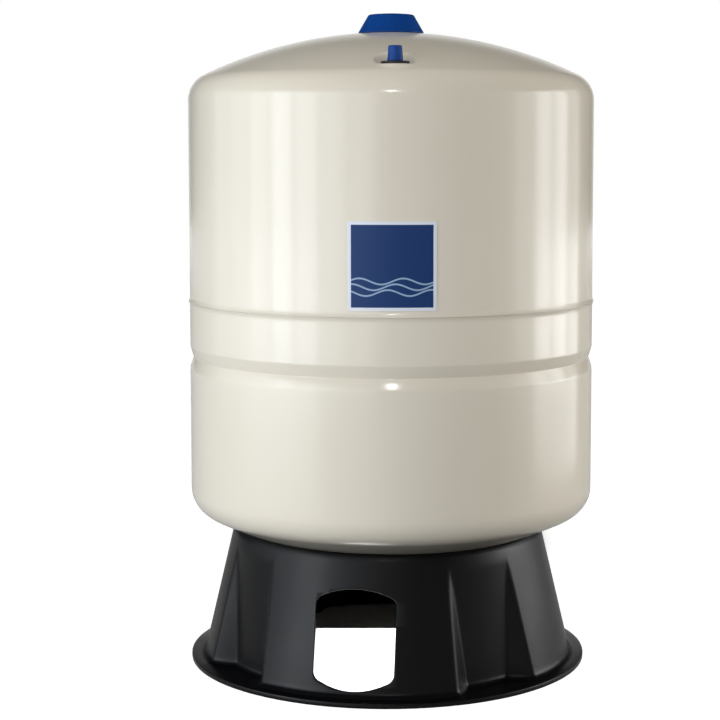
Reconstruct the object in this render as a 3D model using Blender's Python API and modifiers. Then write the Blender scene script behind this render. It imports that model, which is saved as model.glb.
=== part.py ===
"""Upright diaphragm pressure tank for a water supply, standing on a moulded plastic stand.

Metres, +Z up, front towards -Y. The origin is on the floor, on the tank's axis.
"""

import math

import bmesh
import bpy
from mathutils.geometry import intersect_point_tri_2d

# Steel tank
body_radius = 0.1936
shell_wall = 0.0012
crown_radius = 0.4123
knuckle_radius = 0.0265
lower_tangent_z = 0.1664
seam_above_tangent = 0.1824
side_above_seam = 0.1880
seam_z = lower_tangent_z + seam_above_tangent
upper_tangent_z = seam_z + side_above_seam
seam_lip = 0.0120
bead_height = 0.0056
bead_proud = 0.0015
groove_below_seam = 0.0560
groove_z = seam_z - groove_below_seam
groove_half_height = 0.0115
groove_depth = 0.0038

# Clearance between pieces that touch or fit
gap = 0.0003

# Water side, inside the lower shell
liner_wall = 0.0015
diaphragm_wall = 0.0025
clinch_wall = 0.0015
rim_above_groove = 0.0040
clinch_overhang = 0.0020
diaphragm_lift = 0.0025

# Water connection through the bottom
port_seat_radius = 0.0340
port_thread_radius = 0.0166
port_bore_radius = 0.0125
port_flange_radius = 0.0280
port_flange_height = 0.0030
port_gasket_height = 0.0020
port_washer_height = 0.0020
port_nut_height = 0.0100
port_nut_across_flats = 0.0460
port_reach = 0.0380
port_chamfer = 0.0012

# Threaded boss in the middle of the upper dome, and the cap over it
boss_radius = 0.0120
boss_above_dome = 0.0040
boss_below_dome = 0.0080
boss_tapping_radius = 0.0050
boss_tapping_depth = 0.0090
cap_base_radius = 0.0312
cap_top_radius = 0.0222
cap_height = 0.0188
cap_crowning = 0.0012
cap_corner = 0.0016
cap_wall = 0.0018
cap_socket_wall = 0.0016

# Air valve on its pressed seat, on the front of the upper dome
valve_inset = 0.0336
valve_radius = body_radius - valve_inset
valve_turn = math.radians(1.29)
valve_seat_sink = 0.0040
valve_seat_radius = 0.0138
valve_seat_blend = 0.0058
valve_disc_radius = 0.01255
valve_disc_height = 0.0021
valve_boss_radius = 0.0080
valve_boss_flange = 0.0035
valve_boss_flange_height = 0.0025
valve_boss_drop = 0.0015
valve_tail_radius = 0.0040
valve_tail_length = 0.0085
valve_collar_radius = 0.0050
valve_collar_height = 0.0020
valve_stem_radius = 0.00385
valve_stem_height = 0.0094
valve_bore_radius = 0.0026
core_radius = 0.0023
core_length = 0.0080
core_recess = 0.0004
core_chamber_radius = 0.0015
core_chamber_depth = 0.0060
core_guide_radius = 0.0009
pin_radius = 0.0006
pin_recess = 0.0003
pin_collar_radius = 0.00125
pin_collar_height = 0.0006
pin_collar_below_top = 0.0016
pin_travel = 0.0012
pin_seal_radius = 0.0018
pin_seal_height = 0.0012
spring_wire_radius = 0.00014
spring_coil_radius = 0.00105
spring_turns = 4
valve_cap_base_radius = 0.0070
valve_cap_top_radius = 0.0061
valve_cap_roof = 0.0016
valve_cap_headroom = 0.0006
valve_seal_height = 0.0010
fine_gap = 0.0002

# Label on the front of the upper shell
label_width = 0.0772
label_height = 0.0773
label_above_seam = 0.0033
label_thickness = 0.00025
label_turn = math.radians(0.29)

# Plastic stand, which as fitted sits a little to the left of the tank's axis
stand_offset_x = -0.0036
stand_turn = math.radians(-9.3)
window_turn = math.radians(-10.3)
stand_top_inset = 0.0449
stand_taper = 0.0303
stand_foot_flange = 0.0120
stand_top_radius = body_radius - stand_top_inset
stand_wall_foot_radius = stand_top_radius + stand_taper
stand_foot_radius = stand_wall_foot_radius + stand_foot_flange
stand_foot_height = 0.0046
stand_wall = 0.0030
stand_fillet = 0.0050
stand_rim_round = 0.0026
stand_seat_width = 0.0290
stand_seat_wall = 0.0030
recess_below_rim = 0.0137
recess_depth = 0.0200
recess_near_angle = math.radians(30.4)
recess_far_angle_top = math.radians(56.2)
recess_far_angle_foot = math.radians(59.2)
recess_step_angle_top = math.radians(1.0)
recess_step_angle_foot = math.radians(6.2)
window_width = 0.0735
window_sill_z = 0.0101
window_below_rim = 0.0303
window_head_rise = 0.0100
window_sill_drop = 0.0104
window_head_corner = 0.0055
window_sill_corner = 0.0070

# Studs, washers and nuts that hold the stand
fixing_inset = 0.0158
fixing_radius = stand_top_radius - fixing_inset
fixing_angles = [math.radians(a) for a in (45, 135, 225, 315)]
stud_radius = 0.0040
stud_tail = 0.0030
stand_hole_radius = 0.0048
washer_radius = 0.0080
washer_height = 0.0016
nut_across_flats = 0.0130
nut_height = 0.0065

# Facets
tank_sides = 36
stand_panel_steps = 3
crown_steps = 5
knuckle_steps = 4
inner_crown_steps = 2
inner_knuckle_steps = 2
port_sides = 24
cap_sides = 28
valve_sides = 18
valve_seat_sides = 20
valve_blend_steps = 4
core_sides = 12
fixing_sides = 10

groove_stations = (1.0, 0.2, -0.2, -1.0)
dome_tangent = math.asin((body_radius - knuckle_radius) / (crown_radius - knuckle_radius))


def clear_scene():
    for obj in list(bpy.data.objects):
        bpy.data.objects.remove(obj)


def new_collection(name):
    collection = bpy.data.collections.new(name)
    bpy.context.scene.collection.children.link(collection)
    return collection


def linear(hex_colour):
    """The scene-linear RGBA of an sRGB hex colour."""
    channels = [int(hex_colour[i : i + 2], 16) / 255 for i in (0, 2, 4)]
    values = [c / 12.92 if c <= 0.04045 else ((c + 0.055) / 1.055) ** 2.4 for c in channels]
    return (*values, 1.0)


def finish(name, hex_colour, roughness, metallic=0.0):
    material = bpy.data.materials.new(name)
    material.use_nodes = True
    shader = material.node_tree.nodes["Principled BSDF"]
    shader.inputs["Base Color"].default_value = linear(hex_colour)
    shader.inputs["Roughness"].default_value = roughness
    shader.inputs["Metallic"].default_value = metallic
    material.diffuse_color = linear(hex_colour)
    return material


def place(name, mesh, material, location=(0, 0, 0), rotation=(0, 0, 0)):
    """Puts a mesh in the scene as one sub-part."""
    obj = bpy.data.objects.new(name, mesh)
    parts.objects.link(obj)
    obj.location = location
    obj.rotation_euler = rotation
    if material is not None:
        mesh.materials.append(material)
    return obj


def turned(name, outline, sides, material, location=(0, 0, 0), rotation=(0, 0, 0)):
    """Spins an outline of (radius, height) points about Z, listed down its outer side first."""
    count = len(outline)
    touches_axis = min(radius for radius, height in outline) <= 0
    edges = [(i, i + 1) for i in range(count - 1)]
    if not touches_axis:
        edges.append((count - 1, 0))
    mesh = bpy.data.meshes.new(name)
    mesh.from_pydata([(radius, 0, height) for radius, height in outline], edges, [])
    obj = place(name, mesh, material, location, rotation)
    spin = obj.modifiers.new("Spin", "SCREW")
    spin.axis = "Z"
    spin.steps = sides
    spin.render_steps = sides
    spin.use_smooth_shade = True
    spin.use_merge_vertices = True
    spin.merge_threshold = 0.00001
    return obj


def baked(obj):
    """Replaces an object's mesh by what its modifiers make of it."""
    graph = bpy.context.evaluated_depsgraph_get()
    mesh = bpy.data.meshes.new_from_object(obj.evaluated_get(graph))
    obj.modifiers.clear()
    obj.data = mesh
    return obj


def shade(obj, sharp_angle=math.radians(35)):
    obj.data.shade_smooth()
    obj.data.set_sharp_from_angle(angle=sharp_angle)


def as_cutter(obj):
    parts.objects.unlink(obj)
    cutters.objects.link(obj)
    obj.hide_render = True
    obj.display_type = "WIRE"
    return obj


def prism(name, sides, radius, bottom, top, material, location=(0, 0, 0), rotation=(0, 0, 0)):
    """An upright prism or cylinder from one height to another."""
    bm = bmesh.new()
    bmesh.ops.create_cone(
        bm, cap_ends=True, segments=sides, radius1=radius, radius2=radius, depth=top - bottom
    )
    bmesh.ops.translate(bm, verts=bm.verts, vec=(0, 0, (top + bottom) / 2))
    mesh = bpy.data.meshes.new(name)
    bm.to_mesh(mesh)
    bm.free()
    return place(name, mesh, material, location, rotation)


def cut(obj, cutter):
    boolean = obj.modifiers.new("Cut " + cutter.name, "BOOLEAN")
    boolean.operation = "DIFFERENCE"
    boolean.solver = "EXACT"
    boolean.object = cutter


def mesh_from_sections(name, sections, closed_ends):
    """Joins a row of closed sections with as many points each by quads."""
    bm = bmesh.new()
    rows = [[bm.verts.new(point) for point in section] for section in sections]
    for row, following in zip(rows, rows[1:]):
        bridge(bm, row, following)
    if closed_ends:
        bm.faces.new(reversed(rows[0]))
        bm.faces.new(rows[-1])
    bmesh.ops.recalc_face_normals(bm, faces=bm.faces)
    mesh = bpy.data.meshes.new(name)
    bm.to_mesh(mesh)
    bm.free()
    return mesh


def dome_rise(radius, inset=0.0):
    """Height of a dome's surface above its tangent plane, at a distance from the axis."""
    knuckle_centre = body_radius - knuckle_radius
    crown_edge = knuckle_centre + (knuckle_radius - inset) * math.sin(dome_tangent)
    if radius < crown_edge:
        below = (crown_radius - knuckle_radius) * math.cos(dome_tangent)
        return math.sqrt((crown_radius - inset) ** 2 - radius**2) - below
    reach = min(radius - knuckle_centre, knuckle_radius - inset)
    return math.sqrt((knuckle_radius - inset) ** 2 - reach**2)


def dome_points(inset, start_angle, crown_count, knuckle_count):
    """(radius, rise) points from near the axis out to the straight side, at an inset from the outside."""
    points = []
    below = (crown_radius - knuckle_radius) * math.cos(dome_tangent)
    for i in range(crown_count):
        angle = start_angle + (dome_tangent - start_angle) * i / crown_count
        radius = (crown_radius - inset) * math.sin(angle)
        points.append((radius, (crown_radius - inset) * math.cos(angle) - below))
    for i in range(knuckle_count + 1):
        angle = dome_tangent + (math.pi / 2 - dome_tangent) * i / knuckle_count
        radius = body_radius - knuckle_radius + (knuckle_radius - inset) * math.sin(angle)
        points.append((radius, (knuckle_radius - inset) * math.cos(angle)))
    return points


def upper_z(radius):
    return upper_tangent_z + dome_rise(radius)


def lower_z(radius):
    return lower_tangent_z - dome_rise(radius)


def grooved_side(inset, overhang=0.0):
    """The rolled groove seen from a surface at an inset, from its top to its bottom."""
    points = []
    for station in groove_stations:
        depth = groove_depth * (0.5 + 0.5 * math.cos(math.pi * station))
        height = groove_z + station * groove_half_height
        points.append((body_radius - inset - depth, height))
    if overhang:
        side = body_radius - inset
        points.insert(0, (side, groove_z + groove_half_height + overhang))
        points.append((side, groove_z - groove_half_height - overhang))
    return points


def lower_bowl(inset, crown_count, knuckle_count, hole_radius):
    """From the straight side down to the flat seat and the hole in the middle, at an inset."""
    start = math.asin(port_seat_radius / crown_radius)
    dome = dome_points(inset, start, crown_count, knuckle_count)
    points = [(radius, lower_tangent_z - rise) for radius, rise in reversed(dome)]
    points.append((hole_radius, points[-1][1]))
    return points


def seat_floor_z(inset):
    """Height of the flat in the middle of the lower dome, at an inset from the outside."""
    angle = math.asin(port_seat_radius / crown_radius)
    below = (crown_radius - knuckle_radius) * math.cos(dome_tangent)
    return lower_tangent_z - ((crown_radius - inset) * math.cos(angle) - below)


# Heights in the stand, from the rim that carries the tank downwards
stand_rim_z = lower_z(stand_top_radius - stand_rim_round) - gap
recess_top_z = stand_rim_z - recess_below_rim
window_head_z = stand_rim_z - window_below_rim

# Insets of the layers that lie in the lower shell, and of the port's pieces
liner_inset = shell_wall + gap
diaphragm_inset = liner_inset + liner_wall + gap
clinch_inset = diaphragm_inset + diaphragm_wall + gap
port_hole_radius = port_thread_radius + gap
port_gasket_z = seat_floor_z(liner_inset + liner_wall) + gap
port_flange_z = port_gasket_z + port_gasket_height + gap
port_washer_z = seat_floor_z(0.0) - gap
port_nut_z = port_washer_z - port_washer_height - gap
port_end_z = seat_floor_z(0.0) - port_reach


def build_upper_shell(material):
    """The pressed upper half: dome, straight side, weld bead, and the valve's pressed seat."""
    hole = boss_radius + gap
    start = math.asin(hole / crown_radius)
    bead_top = seam_z + bead_height / 2
    bead_bottom = seam_z - bead_height / 2
    outer = [(r, upper_tangent_z + rise) for r, rise in dome_points(0, start, crown_steps, knuckle_steps)]
    outer += [
        (body_radius, bead_top),
        (body_radius + 0.8 * bead_proud, seam_z + bead_height / 4),
        (body_radius + bead_proud, seam_z),
        (body_radius + 0.8 * bead_proud, seam_z - bead_height / 4),
        (body_radius, bead_bottom),
    ]
    inner = dome_points(shell_wall, start, crown_steps, knuckle_steps)
    inner = [(body_radius - shell_wall, bead_bottom)] + [
        (r, upper_tangent_z + rise) for r, rise in reversed(inner)
    ]
    obj = baked(turned("upper_shell", outer + inner, tank_sides, material))
    press_valve_seat(obj.data)
    shade(obj)
    return obj


def press_valve_seat(mesh):
    """Lofts a level, pierced seat for the air valve into both faces of the dome's wall."""
    bm = bmesh.new()
    bm.from_mesh(mesh)
    reach = valve_seat_radius + valve_seat_blend
    hole_rings = []
    for inset, floor in ((0.0, valve_z), (shell_wall, valve_z - shell_wall)):

        def skin_z(x, y):
            return upper_tangent_z + dome_rise(math.hypot(x, y), inset)

        def seat_ring(radius):
            """A ring round the valve, on the dome at the blend's edge and level on the seat."""
            share = min(1.0, max(0.0, (reach - radius) / valve_seat_blend))
            share = share * share * (3 - 2 * share)
            ring_verts = []
            for i in range(valve_seat_sides):
                angle = 2 * math.pi * i / valve_seat_sides
                x = valve_x + radius * math.cos(angle)
                y = valve_y + radius * math.sin(angle)
                z = skin_z(x, y) * (1 - share) + floor * share
                ring_verts.append(bm.verts.new((x, y, z)))
            return ring_verts

        def under_seat(face):
            """Whether a facet lies in this face of the dome and reaches into the seat's circle."""
            if any(abs(vert.co.z - skin_z(vert.co.x, vert.co.y)) > gap / 10 for vert in face.verts):
                return False
            corners = [vert.co.xy for vert in face.verts]
            for i in range(4 * valve_seat_sides):
                angle = math.pi * i / (2 * valve_seat_sides)
                point = (valve_x + reach * math.cos(angle), valve_y + reach * math.sin(angle))
                for second, third in zip(corners[1:], corners[2:]):
                    if intersect_point_tri_2d(point, corners[0], second, third):
                        return True
            return False

        domed = [face for face in bm.faces if face.calc_center_median().z > upper_tangent_z]
        doomed = [face for face in domed if under_seat(face)]
        open_before = {edge for edge in bm.edges if edge.is_boundary}
        bmesh.ops.delete(bm, geom=doomed, context="FACES")
        border = [edge for edge in bm.edges if edge.is_boundary and edge not in open_before]
        radii = [reach - valve_seat_blend * i / valve_blend_steps for i in range(valve_blend_steps + 1)]
        rings = [seat_ring(radius) for radius in radii + [valve_boss_radius + gap]]
        for outer_ring, inner_ring in zip(rings, rings[1:]):
            bridge(bm, outer_ring, inner_ring)
        border += [edge for vert in rings[0] for edge in vert.link_edges if edge.is_boundary]
        bmesh.ops.triangle_fill(bm, use_beauty=True, normal=(0, 0, 1), edges=list(set(border)))
        hole_rings.append(rings[-1])
    bridge(bm, hole_rings[0], hole_rings[1])
    bmesh.ops.recalc_face_normals(bm, faces=bm.faces)
    bm.to_mesh(mesh)
    bm.free()


def bridge(bm, ring_a, ring_b):
    """Joins two rings of as many points by quads."""
    for i in range(len(ring_a)):
        j = (i + 1) % len(ring_a)
        bm.faces.new((ring_a[i], ring_a[j], ring_b[j], ring_b[i]))


def build_lower_shell(material):
    """The pressed lower half: joggled lip, groove, straight side, dome and the port's flat seat."""
    bead_bottom = seam_z - bead_height / 2
    step = shell_wall + gap
    outer = [(body_radius - step, seam_z + seam_lip), (body_radius - step, bead_bottom - gap)]
    outer += [(body_radius, bead_bottom - gap - step)]
    outer += grooved_side(0.0)
    outer += lower_bowl(0.0, crown_steps - 1, knuckle_steps, port_hole_radius)
    inner = [(body_radius - step - shell_wall, seam_z + seam_lip)]
    inner += [(body_radius - step - shell_wall, bead_bottom - gap - shell_wall / 2)]
    inner += [(body_radius - shell_wall, bead_bottom - gap - step - shell_wall / 2)]
    inner += grooved_side(shell_wall)
    inner += lower_bowl(shell_wall, crown_steps - 1, knuckle_steps, port_hole_radius)
    return turned("lower_shell", outer + inner[::-1], tank_sides, material)


def build_liner(material):
    """The moulded plastic liner that keeps the water off the steel."""
    rim = groove_z + groove_half_height + rim_above_groove
    sides = []
    for inset in (liner_inset, liner_inset + liner_wall):
        side = [(body_radius - inset, rim)] + grooved_side(inset)
        side += lower_bowl(inset, inner_crown_steps, inner_knuckle_steps, port_hole_radius)
        sides.append(side)
    return turned("liner", sides[0] + sides[1][::-1], tank_sides, material)


def build_diaphragm(material):
    """The rubber bag wall between water and air, lying low as it does with no water in the tank."""
    rim = groove_z + groove_half_height + rim_above_groove
    middle_z = port_flange_z + port_flange_height + diaphragm_lift
    sides = []
    for inset in (diaphragm_inset, diaphragm_inset + diaphragm_wall):
        side = [(body_radius - inset, rim)] + grooved_side(inset)
        knuckle = dome_points(inset, dome_tangent, 0, inner_knuckle_steps)
        side += [(radius, lower_tangent_z - rise) for radius, rise in reversed(knuckle)]
        edge_radius, edge_z = side[-1]
        centre_z = middle_z + inset - diaphragm_inset
        for i in range(1, inner_crown_steps + 1):
            share = 1 - i / inner_crown_steps
            side.append((edge_radius * share, centre_z + (edge_z - centre_z) * share**2))
        sides.append(side)
    return turned("diaphragm", sides[1][::-1] + sides[0], tank_sides, material)


def build_clinch_ring(material):
    """The rolled steel ring that clamps diaphragm and liner into the groove."""
    outer = grooved_side(clinch_inset, clinch_overhang)
    inner = grooved_side(clinch_inset + clinch_wall, clinch_overhang)
    return turned("clinch_ring", outer + inner[::-1], tank_sides, material)


def build_water_connection(material):
    """Flange inside the tank, threaded tail through its bottom, open right through."""
    top = port_flange_z + port_flange_height
    outline = [
        (port_flange_radius - port_chamfer, top),
        (port_flange_radius, top - port_chamfer),
        (port_flange_radius, port_flange_z),
        (port_thread_radius, port_flange_z),
        (port_thread_radius, port_end_z + port_chamfer),
        (port_thread_radius - port_chamfer, port_end_z),
        (port_bore_radius, port_end_z),
        (port_bore_radius, top),
    ]
    return turned("water_connection", outline, port_sides, material)


def ring(name, inner_radius, outer_radius, bottom, top, sides, material, location=(0, 0, 0), rotation=(0, 0, 0)):
    outline = [(outer_radius, top), (outer_radius, bottom), (inner_radius, bottom), (inner_radius, top)]
    return turned(name, outline, sides, material, location, rotation)


def build_nut(name, across_flats, bore_radius, bottom, top, sides, material, location=(0, 0, 0), rotation=(0, 0, 0)):
    """A plain hexagon nut."""
    corner_radius = across_flats / 2 / math.cos(math.pi / 6)
    nut = prism(name, 6, corner_radius, bottom, top, material, location, rotation)
    bore = prism(name + "_bore", sides, bore_radius, bottom - gap, top + gap, None, location, rotation)
    cut(nut, as_cutter(bore))
    return nut


def build_top_boss(material):
    """A steel boss welded into the middle of the dome, tapped from above for lifting."""
    top = upper_z(0.0) + boss_above_dome
    outline = [
        (boss_tapping_radius, top),
        (boss_radius - port_chamfer, top),
        (boss_radius, top - port_chamfer),
        (boss_radius, upper_z(0.0) - boss_below_dome),
        (0, upper_z(0.0) - boss_below_dome),
    ]
    outline = [(0, top - boss_tapping_depth), (boss_tapping_radius, top - boss_tapping_depth)] + outline
    return turned("top_boss", outline, valve_sides, material)


def build_top_cap(material):
    """The moulded conical cap that pushes over the boss."""
    rim_z = upper_z(cap_base_radius - cap_wall) + gap
    top = rim_z + cap_height
    corner_z = top - cap_crowning
    socket = boss_radius + gap
    slope = (cap_base_radius - cap_top_radius) / (cap_height - cap_crowning - cap_corner)
    roof = top - cap_wall
    inside_top_radius = cap_top_radius - cap_wall
    outline = [
        (0, top),
        (cap_top_radius * 0.55, top - cap_crowning * 0.3),
        (cap_top_radius - cap_corner * 0.8, corner_z),
        (cap_top_radius, corner_z - cap_corner),
        (cap_base_radius, rim_z + cap_corner / 2),
        (cap_base_radius, rim_z),
        (cap_base_radius - cap_wall, rim_z),
        (inside_top_radius + slope * cap_wall, roof - cap_crowning - cap_wall),
        (socket + cap_socket_wall, roof - cap_crowning - cap_wall),
        (socket + cap_socket_wall, upper_z(socket) + 2 * gap),
        (socket, upper_z(socket) + 2 * gap),
        (socket, upper_z(0.0) + boss_above_dome + 2 * gap),
        (boss_tapping_radius, roof - cap_crowning),
        (0, roof - cap_crowning),
    ]
    return turned("top_cap", outline, cap_sides, material)


# Heights of the air valve's pieces, from its pressed seat upwards
valve_x = valve_radius * math.sin(valve_turn)
valve_y = -valve_radius * math.cos(valve_turn)
valve_z = upper_z(valve_radius) - valve_seat_sink
disc_z = valve_z + gap
disc_top_z = disc_z + valve_disc_height
boss_top_z = disc_top_z - gap
collar_z = boss_top_z + gap
collar_top_z = collar_z + valve_collar_height
stem_top_z = collar_top_z + valve_stem_height
core_top_z = stem_top_z - core_recess
core_bottom_z = core_top_z - core_length
chamber_floor_z = core_top_z - core_chamber_depth
pin_top_z = core_top_z - pin_recess
pin_collar_z = pin_top_z - pin_collar_below_top - pin_collar_height
valve_seal_z = collar_top_z + gap
cap_step_z = valve_seal_z + valve_seal_height + gap
valve_cap_bottom_z = disc_top_z + gap
valve_cap_ceiling_z = stem_top_z + valve_cap_headroom
valve_cap_top_z = valve_cap_ceiling_z + valve_cap_roof


def build_valve_boss(material):
    """A turned steel boss welded into the pressed seat from inside, tapped for the valve."""
    under = valve_z - shell_wall - gap
    flange_radius = valve_boss_radius + valve_boss_flange
    bore = valve_tail_radius + gap
    outline = [
        (valve_boss_radius, boss_top_z),
        (valve_boss_radius, under - gap),
        (flange_radius, under - gap - valve_boss_drop),
        (flange_radius, under - valve_boss_drop - valve_boss_flange_height),
        (bore, under - valve_boss_drop - valve_boss_flange_height),
        (bore, boss_top_z),
    ]
    return turned("valve_boss", outline, valve_sides, material, (valve_x, valve_y, 0))


def build_valve_body(material):
    """The brass valve body: tail, collar and stem, bored right through."""
    outline = [
        (valve_stem_radius - fine_gap, stem_top_z),
        (valve_stem_radius, stem_top_z - fine_gap),
        (valve_stem_radius, collar_top_z),
        (valve_collar_radius, collar_top_z),
        (valve_collar_radius, collar_z),
        (valve_tail_radius, collar_z),
        (valve_tail_radius, collar_z - valve_tail_length),
        (valve_bore_radius, collar_z - valve_tail_length),
        (valve_bore_radius, stem_top_z),
    ]
    return turned("valve_body", outline, valve_sides, material, (valve_x, valve_y, 0))


def build_valve_core(material):
    """The brass insert that guides the pin and holds its spring."""
    outline = [
        (core_radius, core_top_z),
        (core_radius, core_bottom_z),
        (core_guide_radius, core_bottom_z),
        (core_guide_radius, chamber_floor_z),
        (core_chamber_radius, chamber_floor_z),
        (core_chamber_radius, core_top_z),
    ]
    return turned("valve_core", outline, core_sides, material, (valve_x, valve_y, 0))


def build_valve_pin(material):
    """The pin that opens the valve, with the seal that closes it from below."""
    seal_top = core_bottom_z - fine_gap
    outline = [
        (0, pin_top_z),
        (pin_radius, pin_top_z),
        (pin_radius, pin_collar_z + pin_collar_height),
        (pin_collar_radius, pin_collar_z + pin_collar_height),
        (pin_collar_radius, pin_collar_z),
        (pin_radius, pin_collar_z),
        (pin_radius, seal_top),
        (pin_seal_radius, seal_top),
        (pin_seal_radius, seal_top - pin_seal_height),
        (0, seal_top - pin_seal_height),
    ]
    return turned("valve_pin", outline, core_sides, material, (valve_x, valve_y, 0))


def build_valve_spring(material):
    """A coil spring between the core's floor and the pin's collar."""
    low = chamber_floor_z + fine_gap + spring_wire_radius
    high = pin_collar_z - fine_gap - spring_wire_radius
    steps = spring_turns * 8
    curve = bpy.data.curves.new("valve_spring", "CURVE")
    curve.dimensions = "3D"
    curve.bevel_depth = spring_wire_radius
    curve.bevel_resolution = 1
    curve.use_fill_caps = True
    line = curve.splines.new("POLY")
    line.points.add(steps)
    for i in range(steps + 1):
        angle = 2 * math.pi * spring_turns * i / steps
        height = low + (high - low) * i / steps
        x = spring_coil_radius * math.cos(angle)
        y = spring_coil_radius * math.sin(angle)
        line.points[i].co = (x, y, height, 1)
    curve.materials.append(material)
    obj = bpy.data.objects.new("valve_spring", curve)
    parts.objects.link(obj)
    obj.location = (valve_x, valve_y, 0)
    return obj


def build_valve_cap(material):
    """The screwed cap over the valve, wider inside at its mouth for the seal."""
    bore = valve_stem_radius + gap
    mouth = valve_collar_radius + gap
    outline = [
        (0, valve_cap_top_z),
        (valve_cap_top_radius - gap, valve_cap_top_z),
        (valve_cap_top_radius, valve_cap_top_z - gap),
        (valve_cap_base_radius, valve_cap_bottom_z),
        (mouth, valve_cap_bottom_z),
        (mouth, cap_step_z),
        (bore, cap_step_z),
        (bore, valve_cap_ceiling_z),
        (0, valve_cap_ceiling_z),
    ]
    return turned("valve_cap", outline, valve_sides, material, (valve_x, valve_y, 0))


def build_label(material):
    """A thin square label bent round the front of the upper shell."""
    inner_radius = body_radius + gap
    outer_radius = inner_radius + label_thickness
    bottom = seam_z + label_above_seam
    top = bottom + label_height
    half_angle = label_width / 2 / body_radius
    steps = 8
    sections = []
    for i in range(steps + 1):
        angle = label_turn - half_angle + 2 * half_angle * i / steps
        across = math.sin(angle)
        forward = -math.cos(angle)
        corners = ((inner_radius, bottom), (outer_radius, bottom), (outer_radius, top), (inner_radius, top))
        sections.append([(radius * across, radius * forward, height) for radius, height in corners])
    obj = place("label", mesh_from_sections("label", sections, True), material)
    shade(obj)
    return obj


def stand_stations():
    """(angle at the recess's top, angle at the foot, recessed or not) over a quarter turn from the window."""
    near = recess_near_angle
    steps = stand_panel_steps
    stations = [(near * i / steps, near * i / steps, 0) for i in range(steps + 1)]
    first = (near + recess_step_angle_top, near + recess_step_angle_foot)
    last = (recess_far_angle_top - recess_step_angle_top, recess_far_angle_foot - recess_step_angle_foot)
    for i in range(steps + 1):
        share = i / steps
        top = first[0] + (last[0] - first[0]) * share
        foot = first[1] + (last[1] - first[1]) * share
        stations.append((top, foot, 1))
    for i in range(steps + 1):
        share = i / steps
        top = recess_far_angle_top + (math.pi / 2 - recess_far_angle_top) * share
        foot = recess_far_angle_foot + (math.pi / 2 - recess_far_angle_foot) * share
        stations.append((top, foot, 0))
    return stations


def stand_section(top_angle, foot_angle, recessed):
    """One closed upright section of the stand's wall, foot and seat, at one station."""

    def fall(z):
        """How far down the recess a height lies, from 0 at its top to 1 at the floor."""
        return min(1.0, max(0.0, 1 - z / recess_top_z))

    def wall(z):
        straight = stand_wall_foot_radius + (stand_top_radius - stand_wall_foot_radius) * z / stand_rim_z
        return straight - recessed * recess_depth * fall(z)

    foot_top = stand_foot_height
    fillet_top = foot_top + stand_fillet
    low_z = recess_top_z * 0.4
    shoulder_z = stand_rim_z - stand_rim_round
    seat_edge = stand_top_radius - stand_seat_width
    seat_middle = stand_top_radius - stand_seat_width / 2
    under_seat = stand_top_radius - stand_wall - stand_rim_round
    rows = [
        (stand_foot_radius, 0.0),
        (stand_foot_radius, foot_top),
        (wall(foot_top) + stand_fillet, foot_top),
        (wall(fillet_top) + stand_fillet * 0.3, foot_top + stand_fillet * 0.3),
        (wall(fillet_top), fillet_top),
        (wall(low_z), low_z),
        (wall(recess_top_z), recess_top_z),
        (wall(shoulder_z), shoulder_z),
        (stand_top_radius - stand_rim_round * 0.3, stand_rim_z - stand_rim_round * 0.3),
        (stand_top_radius - stand_rim_round, stand_rim_z),
        (seat_middle, lower_z(seat_middle) - gap),
        (seat_edge, lower_z(seat_edge) - gap),
        (seat_edge, lower_z(seat_edge) - gap - stand_seat_wall),
        (under_seat, lower_z(under_seat) - gap - stand_seat_wall),
        (wall(recess_top_z) - stand_wall, recess_top_z),
        (wall(low_z) - stand_wall, low_z),
        (wall(0.0) - stand_wall, 0.0),
    ]
    points = []
    for radius, z in rows:
        angle = top_angle + (foot_angle - top_angle) * fall(z)
        points.append((radius * math.sin(angle), -radius * math.cos(angle), z))
    return points


def window_outline():
    """The window's outline as (across, height) points, from its lower left corner round."""
    half = window_width / 2

    def arch(sagitta, count):
        """Shares of the half width and of the sagitta along a shallow arch."""
        radius = (half**2 + sagitta**2) / (2 * sagitta)
        limit = math.asin(half / radius)
        for i in range(count + 1):
            angle = -limit + 2 * limit * i / count
            yield radius * math.sin(angle), radius * math.cos(angle) - radius + sagitta

    def corner(x, z, radius, start, turn):
        """A quarter round at a corner."""
        for i in range(3):
            angle = start + turn * i / 2
            yield x + radius * math.cos(angle), z + radius * math.sin(angle)

    sill_z = window_sill_z + window_sill_drop
    head_z = window_head_z - window_head_rise
    r = window_sill_corner
    outline = list(corner(-half + r, sill_z + r * 0.5, r, math.pi, math.pi / 3))
    outline += [(x, sill_z - rise) for x, rise in list(arch(window_sill_drop, 8))[1:-1]]
    outline += list(corner(half - r, sill_z + r * 0.5, r, -math.pi / 3, math.pi / 3))
    r = window_head_corner
    outline += list(corner(half - r, head_z - r * 0.8, r, 0.0, math.pi / 2.4))
    outline += [(x, head_z + rise) for x, rise in reversed(list(arch(window_head_rise, 6))[1:-1])]
    outline += list(corner(-half + r, head_z - r * 0.8, r, math.pi - math.pi / 2.4, math.pi / 2.4))
    return outline


def seat_follows_dome(mesh):
    """Lifts or lowers the seat's points to keep their distance from the dome, which isn't on the stand's axis."""
    for vert in mesh.vertices:
        own = lower_z(min(math.hypot(vert.co.x, vert.co.y), body_radius))
        if vert.co.z < own - 2 * stand_seat_wall:
            continue
        turned_x = vert.co.x * math.cos(stand_turn) - vert.co.y * math.sin(stand_turn) + stand_offset_x
        turned_y = vert.co.x * math.sin(stand_turn) + vert.co.y * math.cos(stand_turn)
        vert.co.z += lower_z(math.hypot(turned_x, turned_y)) - own


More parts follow.
